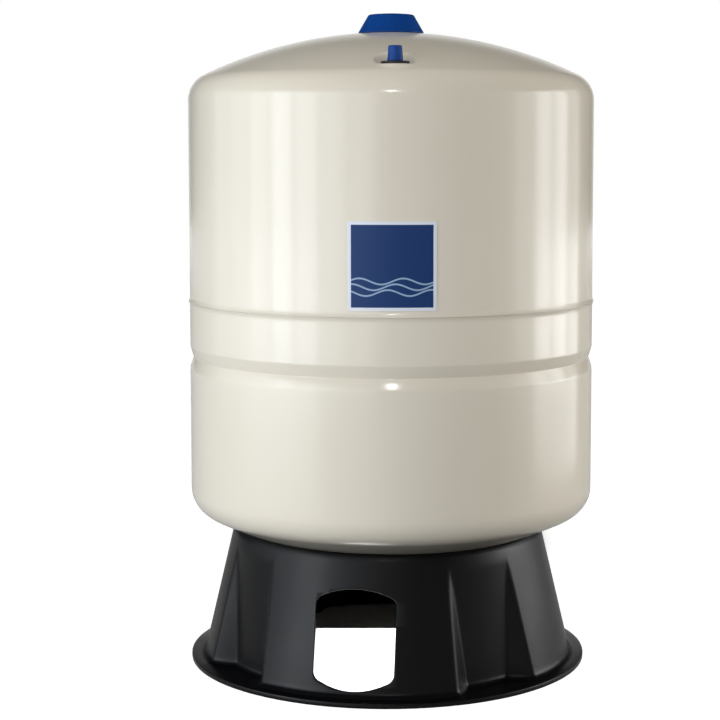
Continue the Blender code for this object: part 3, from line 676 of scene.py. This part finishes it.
def wave_line(tree, across, up, height_mm, phase):
    """1 on a wavy line at a height, 0 beside it."""
    angle = sum_of(tree, "MULTIPLY_ADD", across, 2 * math.pi / WAVE_LONG)
    angle.node.inputs[2].default_value = phase
    swing = sum_of(tree, "MULTIPLY", sum_of(tree, "SINE", angle, 0.0), WAVE_HIGH)
    away = add(tree, "ShaderNodeMath", {0: up, 1: swing}, operation="SUBTRACT")
    level = sum_of(tree, "ABSOLUTE", sum_of(tree, "SUBTRACT", away.outputs["Value"], height_mm * MM), 0.0)
    line = add(
        tree, "ShaderNodeMapRange", {"Value": level},
        From_Min=LINE_HALF * 0.7, From_Max=LINE_HALF * 1.3, To_Min=1.0, To_Max=0.0,
    )
    return line.outputs["Result"]


def printed_film(name):
    """Laminated vinyl: a blue field with three waves, inside a white border."""
    material, tree, shader = finish(name, FIELD_BLUE, 0.4, ior=1.48, specular=0.3)
    across, up = label_axes(tree)
    wide = sum_of(tree, "LESS_THAN", sum_of(tree, "ABSOLUTE", across, 0.0), LABEL_W / 2 - LABEL_BORDER)
    tall = sum_of(tree, "LESS_THAN", sum_of(tree, "ABSOLUTE", up, 0.0), LABEL_H / 2 - LABEL_BORDER)
    field = add(tree, "ShaderNodeMath", {0: wide, 1: tall}, operation="MULTIPLY")
    waves, *others = [wave_line(tree, across, up, height_mm, phase) for height_mm, phase in WAVE_LINES]
    for line in others:
        waves = add(tree, "ShaderNodeMath", {0: waves, 1: line}, operation="MAXIMUM").outputs["Value"]
    printed = add(tree, "ShaderNodeMix", {"Factor": sum_of(tree, "MULTIPLY", waves, 0.8)}, data_type="RGBA")
    printed.inputs["A"].default_value = linear(FIELD_BLUE)
    printed.inputs["B"].default_value = linear(LINE_BLUE)
    edged = add(
        tree, "ShaderNodeMix", {"Factor": field.outputs["Value"], "B": printed.outputs["Result"]},
        data_type="RGBA",
    )
    edged.inputs["A"].default_value = linear(BORDER_WHITE)
    tree.links.new(edged.outputs["Result"], shader.inputs["Base Color"])
    return material


label_film = printed_film("laminated_vinyl")
print("finish:", label_film.name)

# %% [markdown]
# ## Label mesh
# The film is 0.25 mm thick with rounded corners. It is a grid bent round the tank, whose rows near
# the corners are pulled in along a small arc.

# %% Label mesh
FILM_FRONT = 0.55 * MM
FILM_BACK = 0.30 * MM
FILM_CORNER = 0.9 * MM


def label_mesh():
    """A closed thin sheet round the tank, with rounded corners."""
    columns, rows = 48, 48
    corner = FILM_CORNER
    verts, faces = [], []
    for layer in (FILM_FRONT, FILM_BACK):
        for j in range(rows + 1):
            v = -LABEL_H / 2 + LABEL_H * j / rows
            inset = max(0.0, abs(v) - (LABEL_H / 2 - corner))
            half = LABEL_W / 2 - (corner - math.sqrt(max(corner**2 - inset**2, 0.0)))
            for i in range(columns + 1):
                angle = LABEL_TURN + (-half + 2 * half * i / columns) / BODY_R
                radius = BODY_R + layer
                z = LABEL_Z + LABEL_H / 2 + v
                verts.append((radius * math.sin(angle), -radius * math.cos(angle), z))
    width = columns + 1
    back = width * (rows + 1)
    for j in range(rows):
        for i in range(columns):
            a = j * width + i
            faces.append((a, a + 1, a + 1 + width, a + width))
            faces.append((back + a, back + a + width, back + a + width + 1, back + a + 1))
    rim = list(range(width))
    rim += [j * width + columns for j in range(1, rows + 1)]
    rim += [rows * width + i for i in range(columns - 1, -1, -1)]
    rim += [j * width for j in range(rows - 1, 0, -1)]
    for a, b in zip(rim, rim[1:] + rim[:1]):
        faces.append((a, back + a, back + b, b))
    return mesh_object("label_film", verts, faces)


label = label_mesh()
label.data.set_sharp_from_angle(angle=math.radians(40))
wear_the(label, label_film)
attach(label, "tank")
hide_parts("label")
print("label:", len(label.data.polygons), "faces")

# %% [markdown]
# ## The stand
# The stand is one moulding: a skirt that tapers upwards, pressed in at four places so that it is
# stiff. Each recess starts as nothing near the top and deepens to the foot, with slanted sides whose
# rounded edges show as thin lines of light. A section is drawn at each height with its corners
# rounded, and the sections are joined from foot to rim and down the inside.

# %% Sizes of the stand
STAND_X = -3.6 * MM
STAND_TURN = math.radians(-9.3)
FOOT_R = 191.0 * MM
FOOT_TOP = 4.6 * MM
WALL_FOOT_R = 179.0 * MM
RIM_R = 148.7 * MM
WALL = 3.0 * MM
FILLET = 5.0 * MM
RIM_ROUND = 2.6 * MM
SEAT_W = 29.0 * MM
RECESS_TOP = 114.6 * MM
RECESS_DEEP = 20.0 * MM
NEAR = math.radians(30.4)
FAR_TOP = math.radians(56.2)
FAR_FOOT = math.radians(59.2)
STEP_TOP = math.radians(1.0)
STEP_FOOT = math.radians(6.2)
SLACK = 0.3 * MM
CORNER_SOFT = 2.6 * MM
CORNER_STEPS = 6
SPAN_STEPS = (3, 8, 3, 14)
RIM_Z = LOWER_Z - dome_rise(RIM_R - RIM_ROUND) - SLACK


def fall(z):
    """How far down its recess a height lies, 0 at the recess's top and 1 at the floor."""
    return min(1.0, max(0.0, 1 - z / RECESS_TOP))


def skirt(z):
    """Radius of the plain skirt at a height."""
    return WALL_FOOT_R + (RIM_R - WALL_FOOT_R) * z / RIM_Z


def section(z, offset=0.0, extra=0.0):
    """(angle, radius) points round the skirt at a height, with rounded corners."""
    down = fall(z)
    deep = RECESS_DEEP * down
    near_end = NEAR + STEP_TOP + (STEP_FOOT - STEP_TOP) * down
    far = FAR_TOP + (FAR_FOOT - FAR_TOP) * down
    far_start = far - STEP_TOP - (STEP_FOOT - STEP_TOP) * down
    outer = skirt(z) - offset + extra
    corners = []
    for quarter in range(4):
        base = quarter * math.pi / 2
        corners += [(base + NEAR, outer), (base + near_end, outer - deep)]
        corners += [(base + far_start, outer - deep), (base + far, outer)]
    points = []
    soft = CORNER_SOFT / outer
    count = len(corners)
    for i, corner in enumerate(corners):
        before = corners[i - 1]
        after = corners[(i + 1) % count]
        gap_before = (corner[0] - before[0]) % (2 * math.pi)
        gap_after = (after[0] - corner[0]) % (2 * math.pi)
        lead = min(soft, 0.4 * gap_before)
        trail = min(soft, 0.4 * gap_after)
        start_r = corner[1] + (before[1] - corner[1]) * lead / gap_before
        end_r = corner[1] + (after[1] - corner[1]) * trail / gap_after
        for k in range(CORNER_STEPS + 1):
            t = k / CORNER_STEPS
            angle = corner[0] - lead * (1 - t) ** 2 + trail * t**2
            radius = start_r * (1 - t) ** 2 + corner[1] * 2 * t * (1 - t) + end_r * t**2
            points.append((angle, radius))
        run = gap_after - 2 * trail
        next_r = after[1] + (corner[1] - after[1]) * trail / gap_after
        steps = SPAN_STEPS[i % 4]
        for k in range(1, steps):
            t = k / steps
            points.append((corner[0] + trail + run * t, end_r + (next_r - end_r) * t))
    return points


print("points in one section of the stand:", len(section(RECESS_TOP / 2)))


# %% [markdown]
# ## Stand mesh
# Sections run up the outside from the foot's rounded edge, over the rim, along the seat that carries
# the tank, and down the inside. The seat keeps its distance from the dome above it, though the stand
# as fitted sits a few millimetres to the left of the tank's axis.


# %% Stand mesh
# Height and inset of each ring round the foot's rounded edge.
FOOT_EDGE = [
    (0.0, 0.6 * MM), (0.25 * MM, 0.1 * MM), (0.8 * MM, 0.0),
    (FOOT_TOP - 1.0 * MM, 0.0), (FOOT_TOP - 0.3 * MM, 0.3 * MM), (FOOT_TOP, 1.1 * MM),
]
SIDE_STEPS = 29
SEAT_STEPS = 6
FILLET_STEPS = 6
RIM_STEPS = 5
SEAT_BACK_STEPS = 4
INSIDE_STEPS = 13


def stand_rows():
    """(height, radius or None, wall offset, extra radius) of each ring of points."""
    rows = [(z, FOOT_R - inset, 0, 0) for z, inset in FOOT_EDGE]
    for k in range(FILLET_STEPS + 1):
        angle = math.pi / 2 * k / FILLET_STEPS
        rise = FILLET * (1 - math.cos(angle))
        rows.append((FOOT_TOP + rise, None, 0, FILLET * (1 - math.sin(angle))))
    low = FOOT_TOP + FILLET
    high = RIM_Z - RIM_ROUND
    for k in range(1, SIDE_STEPS + 1):
        rows.append((low + (high - low) * k / SIDE_STEPS, None, 0, 0))
    for k in range(1, RIM_STEPS + 1):
        angle = math.pi / 2 * k / RIM_STEPS
        rows.append((high + RIM_ROUND * math.sin(angle), RIM_R - RIM_ROUND * (1 - math.cos(angle)), 0, 0))
    for k in range(1, SEAT_STEPS + 1):
        radius = RIM_R - RIM_ROUND - (SEAT_W - RIM_ROUND) * k / SEAT_STEPS
        rows.append((LOWER_Z - dome_rise(radius) - SLACK, radius, 0, 0))
    edge = RIM_R - SEAT_W
    rows.append((LOWER_Z - dome_rise(edge) - SLACK - WALL, edge, 0, 0))
    for k in range(1, SEAT_BACK_STEPS + 1):
        radius = edge + (RIM_R - WALL - RIM_ROUND - edge) * k / SEAT_BACK_STEPS
        rows.append((LOWER_Z - dome_rise(radius) - SLACK - WALL, radius, 0, 0))
    for k in range(INSIDE_STEPS + 1):
        rows.append((RECESS_TOP * (1 - k / INSIDE_STEPS), None, WALL, 0))
    return rows


def stand_mesh():
    """Joins the sections into one closed skirt, in the stand's own axes."""
    verts, faces = [], []
    rows = stand_rows()
    for z, radius, offset, extra in rows:
        for angle, own_radius in section(z, offset, extra):
            r = own_radius if radius is None else radius
            verts.append((r * math.sin(angle), -r * math.cos(angle), z))
    count = len(verts) // len(rows)
    for i in range(len(rows)):
        a, b = i * count, (i + 1) % len(rows) * count
        for j in range(count):
            k = (j + 1) % count
            faces.append((a + j, a + k, b + k, b + j))
    return mesh_object("stand_moulded", verts, faces)


def fit_seat_to_dome(mesh):
    """Keeps the seat's distance from the dome all the way round."""
    for vert in mesh.vertices:
        own = LOWER_Z - dome_rise(min(math.hypot(vert.co.x, vert.co.y), BODY_R))
        if vert.co.z < own - 2 * WALL:
            continue
        x = vert.co.x * math.cos(STAND_TURN) - vert.co.y * math.sin(STAND_TURN) + STAND_X
        y = vert.co.x * math.sin(STAND_TURN) + vert.co.y * math.cos(STAND_TURN)
        vert.co.z += LOWER_Z - dome_rise(math.hypot(x, y)) - own


stand = stand_mesh()
fit_seat_to_dome(stand.data)
print("stand:", len(stand.data.polygons), "faces")

# %% [markdown]
# ## The window in the stand
# The pipe comes in through a window whose head and sill are both shallow arches with rounded
# corners. Its outline is drawn once, so that its few sizes can be read and changed.

# %% Window outline
WINDOW_W = 73.5 * MM
SILL_Z = 10.1 * MM
HEAD_Z = 98.0 * MM
HEAD_RISE = 10.0 * MM
WINDOW_TURN = math.radians(-1.0)
SILL_DROP = 10.4 * MM
WINDOW_CORNER = 7.0 * MM
CORNER_RISE = 0.35 * WINDOW_CORNER
ARCH_STEPS = 40


def arch(sagitta, count):
    """(across, rise) points along a shallow arch over the window's width."""
    half = WINDOW_W / 2
    radius = (half**2 + sagitta**2) / (2 * sagitta)
    limit = math.asin(half / radius)
    for i in range(count + 1):
        angle = -limit + 2 * limit * i / count
        yield radius * math.sin(angle), radius * math.cos(angle) - radius + sagitta


def fillet(start, corner, end, steps=8):
    """Points of a smooth curve from start to end that bends at a corner."""
    for i in range(steps + 1):
        t = i / steps
        yield tuple(Vector(start) * (1 - t) ** 2 + Vector(corner) * 2 * t * (1 - t) + Vector(end) * t**2)


def window_outline():
    """(across, height) points round the window from its lower left corner."""
    half = WINDOW_W / 2
    upper = [(x, HEAD_Z - HEAD_RISE + rise) for x, rise in arch(HEAD_RISE, ARCH_STEPS)]
    lower = [(x, SILL_Z + SILL_DROP - rise) for x, rise in arch(SILL_DROP, ARCH_STEPS)]
    outline = []
    for side, row, bend in ((-1, lower, 1), (1, upper[::-1], -1)):
        row = [p for p in row if abs(p[0]) < half - WINDOW_CORNER]
        first, last = row[0], row[-1]
        rise = bend * CORNER_RISE
        outline += fillet((side * half, first[1] + rise * 4), (side * half, first[1] + rise), first)
        outline += row[1:-1]
        outline += fillet(last, (-side * half, last[1] + rise), (-side * half, last[1] + rise * 4))
    return outline


print("points round the window:", len(window_outline()))

# %% [markdown]
# ## Cutting the window
# In the mould, a block that stands in the wall leaves the window free. Here a prism of the window's
# outline is taken out of the wall by a boolean, which needs no vertices planned for it beforehand.
# The cut's edges are then rounded a little by a bevel, as a mould's edges are.

# %% Cut the window
CUTTER_NEAR = 110 * MM
CUTTER_FAR = 212 * MM


def cut_through(target, cutter):
    """Cuts one object by another and keeps the result as the mesh."""
    boolean = target.modifiers.new("Cut", "BOOLEAN")
    boolean.operation = "DIFFERENCE"
    boolean.solver = "EXACT"
    boolean.object = cutter
    graph = bpy.context.evaluated_depsgraph_get()
    mesh = bpy.data.meshes.new_from_object(target.evaluated_get(graph))
    target.modifiers.clear()
    target.data = mesh
    bpy.data.objects.remove(cutter)


def prism_along_y(name, outline, near, far):
    """A prism from an outline in X and Z, from one depth to another."""
    count = len(outline)
    verts = [(x, -depth, z) for depth in (near, far) for x, z in outline]
    faces = [tuple(range(count)), tuple(range(2 * count - 1, count - 1, -1))]
    faces += [(i, (i + 1) % count, (i + 1) % count + count, i + count) for i in range(count)]
    return mesh_object(name, verts, faces)


window_cutter = prism_along_y("window_cutter", window_outline(), CUTTER_NEAR, CUTTER_FAR)
window_cutter.data.transform(Matrix.Rotation(WINDOW_TURN, 4, "Z"))
cut_through(stand, window_cutter)
print("faces once the window is cut:", len(stand.data.polygons))

# %% Round the window's edges
EDGE_ROUND = 0.7 * MM
SHARP = math.radians(55)
BEHIND_WALL = -130 * MM


def soften_window(mesh, width):
    """Rounds the edges of the window, found by how sharply their faces turn."""
    bm = bmesh.new()
    bm.from_mesh(mesh)
    rim = []
    facing = Matrix.Rotation(-WINDOW_TURN, 3, "Z")
    for edge in bm.edges:
        if len(edge.link_faces) != 2 or edge.calc_face_angle(0.0) < SHARP:
            continue
        middle = facing @ ((edge.verts[0].co + edge.verts[1].co) / 2)
        beside = abs(middle.x) >= WINDOW_W / 2 + MM or middle.y >= BEHIND_WALL
        if not beside and SILL_Z - MM < middle.z < HEAD_Z + MM:
            rim.append(edge)
    bmesh.ops.bevel(bm, geom=rim, offset=width, segments=2, profile=0.5, affect="EDGES")
    bm.to_mesh(mesh)
    bm.free()
    return len(rim)


print("window edges rounded:", soften_window(stand.data, EDGE_ROUND))
stand.data.shade_smooth()
stand.data.set_sharp_from_angle(angle=math.radians(40))
stand.data.transform(Matrix.Translation((STAND_X, 0, 0)) @ Matrix.Rotation(STAND_TURN, 4, "Z"))
wear_the(stand, black_polypropylene)
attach(stand, "tank")
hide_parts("stand")

# %% [markdown]
# ## Finishes for the pieces that keep their own solids
# What lies inside or under the tank keeps the model's own solids. They are plain turned or moulded
# forms, seen from below or not at all, so finer meshes would add nothing. Each gets the finish of
# what it is made from.

# %% Finishes for the other pieces
kept = {
    "liner": white_polypropylene,
    "diaphragm": butyl,
    "clinch_ring": mild_steel,
    "water_connection": turned_stainless,
    "connection_gasket": black_rubber,
    "connection_washer": turned_stainless,
    "connection_nut": turned_stainless,
    "top_boss": mild_steel,
    "valve_boss": mild_steel,
    "valve_body": turned_brass,
    "valve_core": turned_brass,
    "valve_pin": turned_brass,
    "valve_spring": turned_stainless,
    "valve_cap_seal": black_rubber,
}
for number in range(1, 5):
    kept[f"stand_stud_{number}"] = zinc_plate
    kept[f"stand_washer_{number}"] = zinc_plate
    kept[f"stand_nut_{number}"] = zinc_plate
for node, material in kept.items():
    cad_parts[node].material_slots[0].material = material
print("nodes with their own solids:", len(kept))

# %% [markdown]
# ## White where it is seen
# A photographer's sweep is lit until it is plain white. So much light would also reach the tank and
# wash out its form. So here the floor and the world are white only to straight rays, and to mirrored
# rays that meet the floor far away or the world straight behind the tank. To others they stay dim.


# %% White for some rays
def plainly_seen(tree, far):
    """1 for straight rays, the far share for mirrored rays, and 0 for the rest."""
    rays = add(tree, "ShaderNodeLightPath")
    mirrored = add(
        tree, "ShaderNodeMath", {0: rays.outputs["Is Glossy Ray"], 1: far}, operation="MULTIPLY"
    )
    straight = add(
        tree, "ShaderNodeMath",
        {0: rays.outputs["Is Camera Ray"], 1: rays.outputs["Is Transmission Ray"]}, operation="MAXIMUM",
    )
    seen = add(
        tree, "ShaderNodeMath", {0: straight.outputs["Value"], 1: mirrored.outputs["Value"]},
        operation="MAXIMUM",
    )
    return seen.outputs["Value"]


FLOOR_CLEAR = 0.62
FAR_FLOOR = 4.0


def clear_floor(material, tree, shader):
    """Adds plain white to the floor where it is plainly seen."""
    place = add(tree, "ShaderNodeTexCoord")
    reach = add(tree, "ShaderNodeVectorMath", {0: place.outputs["Object"]}, operation="LENGTH")
    far = add(
        tree, "ShaderNodeMapRange", {"Value": reach.outputs["Value"]},
        From_Min=FAR_FLOOR, From_Max=2 * FAR_FLOOR,
    )
    share = add(tree, "ShaderNodeMath", {0: plainly_seen(tree, far.outputs["Result"])}, operation="MULTIPLY")
    share.inputs[1].default_value = FLOOR_CLEAR
    white = add(tree, "ShaderNodeEmission", {"Strength": share.outputs["Value"]})
    both = add(tree, "ShaderNodeAddShader", {0: shader.outputs["BSDF"], 1: white.outputs["Emission"]})
    tree.links.new(both.outputs["Shader"], tree.nodes["Material Output"].inputs["Surface"])
    return material


FLOOR_WHITE = ("F4F4F2", 0.9, 0.0, 1.45)
plain_floor = finish("white_studio_floor", *FLOOR_WHITE)[0]
lit_floor = clear_floor(*finish("clear_white_studio_floor", *FLOOR_WHITE))
print("finishes:", plain_floor.name, lit_floor.name)

# %% [markdown]
# ## The floor in three pieces
# Round the stand the floor is white and keeps the tank's shadow. Inside the stand's foot it is cut
# across: the part that shows through the window is lit white, and the part behind it is left dark.
# Separate pieces are used because each can then be given a lamp of its own.

# %% Floor
FLOOR_Z = -0.2 * MM
FLOOR_R = 9.0
FOOTPRINT_R = 186.0 * MM
LIT_TO_Y = 77.5 * MM


def circle(radius, segments=128):
    """Points round the stand's axis at the floor's level."""
    angles = even_angles(segments)
    return [(STAND_X + radius * math.cos(a), radius * math.sin(a), FLOOR_Z) for a in angles]


def floor_piece(name, verts, faces, material):
    """A flat piece of floor that gives the object no light of its own."""
    piece = mesh_object(name, verts, faces)
    wear_the(piece, material)
    piece.visible_diffuse = False
    return piece


inner, outer = circle(FOOTPRINT_R), circle(FLOOR_R)
count = len(inner)
ring = [(i, i + count, (i + 1) % count + count, (i + 1) % count) for i in range(count)]
floor = floor_piece("studio_floor", inner + outer, ring, lit_floor)

half_x = math.sqrt(FOOTPRINT_R**2 - LIT_TO_Y**2)
right_end = (STAND_X + half_x, LIT_TO_Y, FLOOR_Z)
left_end = (STAND_X - half_x, LIT_TO_Y, FLOOR_Z)
front = [left_end] + [p for p in inner[count // 4 :] + inner[: count // 4] if p[1] < LIT_TO_Y] + [right_end]
rear = [right_end] + [p for p in inner if p[1] > LIT_TO_Y] + [left_end]
front_floor = floor_piece("floor_behind_the_window", front, [range(len(front))], plain_floor)
rear_floor = floor_piece("floor_under_the_tank", rear, [range(len(rear))], plain_floor)
print("floor pieces:", floor.name, front_floor.name, rear_floor.name)

# %% [markdown]
# ## World
# The world is white to the camera. What shines shows it white too in one direction, straight behind
# the tank, where a backdrop hangs. As a lamp it is dim, so that it lifts the shadows a little.

# %% World
AMBIENT = 0.02
BACKDROP_EDGE = 0.90
world = bpy.data.worlds.new("white_surround")
world.use_nodes = True
bpy.context.scene.world = world
direction = add(world.node_tree, "ShaderNodeTexCoord")
axes = add(world.node_tree, "ShaderNodeSeparateXYZ", {"Vector": direction.outputs["Generated"]})
backdrop = add(
    world.node_tree, "ShaderNodeMapRange", {"Value": axes.outputs["Y"]},
    From_Min=BACKDROP_EDGE, From_Max=1.0, interpolation_type="SMOOTHSTEP",
)
seen = plainly_seen(world.node_tree, backdrop.outputs["Result"])
level = add(world.node_tree, "ShaderNodeMapRange", {"Value": seen}, To_Min=AMBIENT, To_Max=1.0)
background = world.node_tree.nodes["Background"]
background.inputs["Color"].default_value = (1.0, 1.0, 1.0, 1.0)
world.node_tree.links.new(level.outputs["Result"], background.inputs["Strength"])
print("world:", world.name)

# %% [markdown]
# ## Lamps
# The tank's shades from left to right say how bright the studio was on each side. So an arc of tall
# strips stands round it, each with the power that its own direction asks for: strongest at 60 degrees
# on the left, where the light is cooler, and at 90 degrees on the right. Two broad tall softboxes
# would be simpler, but their edges would show in the coat as hard bands.


# %% Tall strips
def softbox(name, bearing, elevation, distance, width, height, power, target_z=0.36):
    """A rectangular lamp that faces the tank. Bearing 0 is the camera's side, positive to the right."""
    data = bpy.data.lights.new(name, "AREA")
    data.shape = "RECTANGLE"
    data.size = width
    data.size_y = height
    data.energy = power
    lamp = bpy.data.objects.new(name, data)
    bpy.context.scene.collection.objects.link(lamp)
    b, e = math.radians(bearing), math.radians(elevation)
    aim = Vector((0.0, 0.0, target_z))
    away = Vector((math.sin(b) * math.cos(e), -math.cos(b) * math.cos(e), math.sin(e)))
    lamp.location = aim + away * distance
    lamp.rotation_euler = away.to_track_quat("Z", "Y").to_euler()
    lamp.visible_camera = False
    return lamp


STRIP_POWERS = {
    -105: 3.0, -90: 4.9, -75: 9.3, -60: 16.2, -45: 12.8, -30: 7.3, -15: 5.1, 15: 0.9,
    30: 0.9, 45: 0.8, 60: 2.1, 75: 6.3, 90: 15.0, 105: 12.3, 120: 3.5,
}
FAR_AWAY = 2.4
STRIP_SIZE = (0.55, 1.7)
COOL_FROM = -20
COOL = (0.93, 1.0, 1.08)
lamps = []
for bearing, power in STRIP_POWERS.items():
    strip = softbox(f"strip_{bearing}", bearing, 0, FAR_AWAY, *STRIP_SIZE, power)
    if bearing < COOL_FROM:
        strip.data.color = COOL
    lamps.append(strip)
print("tall strips:", len(lamps))

# %% [markdown]
# ## Smaller lamps
# A small flash above the camera draws the short bright dashes on the knuckle and the groove. Two low
# strips carry the side highlights down to the lower half. Panels in front and behind fill the dome
# and the back: they are kept out of reflections, because only their soft light is wanted.

# %% Flash, low strips and panels
LOW_Z = 0.19
LOW_NEAR = 1.05
lamps.append(softbox("front_flash", 0.5, 21.5, 2.6, 0.12, 0.10, 5.7))
low_left = softbox("low_left_strip", -60, 0, LOW_NEAR, 0.9, 0.34, 0.9, target_z=LOW_Z)
low_left.data.color = COOL
low_right = softbox("low_right_strip", 100, 0, LOW_NEAR, 0.8, 0.34, 1.5, target_z=LOW_Z)
lamps += [low_left, low_right]
for panel in (
    softbox("upper_panel", 0, 45, FAR_AWAY, 0.8, 0.8, 10.5),
    softbox("back_strip", 180, 10, FAR_AWAY, 1.2, 1.7, 6.0),
    softbox("back_top_panel", 180, 75, FAR_AWAY, 1.0, 1.0, 14.0),
):
    panel.visible_glossy = False
    lamps.append(panel)
print("lamps on the tank:", len(lamps))

# %% [markdown]
# ## Which lamp reaches what
# Light linking keeps a lamp on some objects or off them. The lamps above leave the floor alone. The
# black stand needs more light than the cream tank to show its recesses, so it has two strips to
# itself. A low sun from the camera's side makes the floor white and lays the tank's shadow behind
# it, and a spot through the window whitens the floor inside.


# %% Light linking
def linked(name, objects, state="INCLUDE"):
    """A collection that keeps a lamp's light on these objects, or off them."""
    group = bpy.data.collections.new(name)
    for obj in objects:
        group.objects.link(obj)
    for item in group.collection_objects:
        item.light_linking.link_state = state
    return group


but_floor = linked("all_but_the_floor", [floor, front_floor, rear_floor], "EXCLUDE")
for lamp in lamps:
    lamp.light_linking.receiver_collection = but_floor

only_stand = linked("only_the_stand", [stand])
for name, bearing, power in (("left_stand_strip", -55, 5.5), ("right_stand_strip", 97, 4.0)):
    strip = softbox(name, bearing, 13, FAR_AWAY, 0.6, 0.5, power, target_z=0.08)
    strip.light_linking.receiver_collection = only_stand

# %% Sun and spot on the floor
SUN_HIGH = math.radians(18.0)
SUN_ANGLE = math.radians(4)
SUN_POWER = 4.9
SPOT_PLACE = Vector((0.0, -1.75, 0.62))
SPOT_AIM = Vector((-0.035, 0.0, 0.0))
SPOT_CONE = math.radians(12)
SPOT_POWER = 1100.0


def floor_lamp(name, kind, power, receiver):
    """A sun or spot whose light reaches one piece of the floor only."""
    lamp = bpy.data.objects.new(name, bpy.data.lights.new(name, kind))
    bpy.context.scene.collection.objects.link(lamp)
    lamp.data.energy = power
    lamp.light_linking.receiver_collection = linked(f"only_{receiver.name}", [receiver])
    return lamp


floor_sun = floor_lamp("floor_sun", "SUN", SUN_POWER, floor)
floor_sun.data.angle = SUN_ANGLE
floor_sun.rotation_euler = (math.pi / 2 - SUN_HIGH, 0.0, 0.0)
window_spot = floor_lamp("window_spot", "SPOT", SPOT_POWER, front_floor)
window_spot.data.spot_size = SPOT_CONE
window_spot.data.shadow_soft_size = 10 * MM
window_spot.location = SPOT_PLACE
window_spot.rotation_euler = (SPOT_AIM - SPOT_PLACE).to_track_quat("-Z", "Y").to_euler()
print("floor lamps:", floor_sun.name, window_spot.name)

# %% [markdown]
# ## Camera
# The camera was found from the photograph: the tank's rims, weld, groove and foot fix how far away
# it stood, how high, and how long its lens was. The picture was cropped off centre, which the shift
# repeats.

# %% Camera
CAMERA_BACK = 1.74993
CAMERA_HIGH = 0.4971
CAMERA_TILT = 0.085
SENSOR_MM = 36.0
LENS_MM = 90.709
MIDDLE_PX = (391.07, 296.84)
FRAME_PX = 720

camera_data = bpy.data.cameras.new("camera")
camera = bpy.data.objects.new("camera", camera_data)
bpy.context.scene.collection.objects.link(camera)
bpy.context.scene.camera = camera
camera_data.sensor_width = SENSOR_MM
camera_data.lens = LENS_MM
camera_data.shift_x = (FRAME_PX / 2 - MIDDLE_PX[0]) / FRAME_PX
camera_data.shift_y = (MIDDLE_PX[1] - FRAME_PX / 2) / FRAME_PX
camera.location = (0.0, -CAMERA_BACK, CAMERA_HIGH)
camera.rotation_euler = (math.pi / 2 - CAMERA_TILT, 0.0, 0.0)
print("camera shift:", round(camera_data.shift_x, 4), round(camera_data.shift_y, 4))

# %% [markdown]
# ## Render settings
# The Standard view shows a colour about as it is written.

# %% Finish
bpy.context.scene.view_settings.view_transform = "Standard"
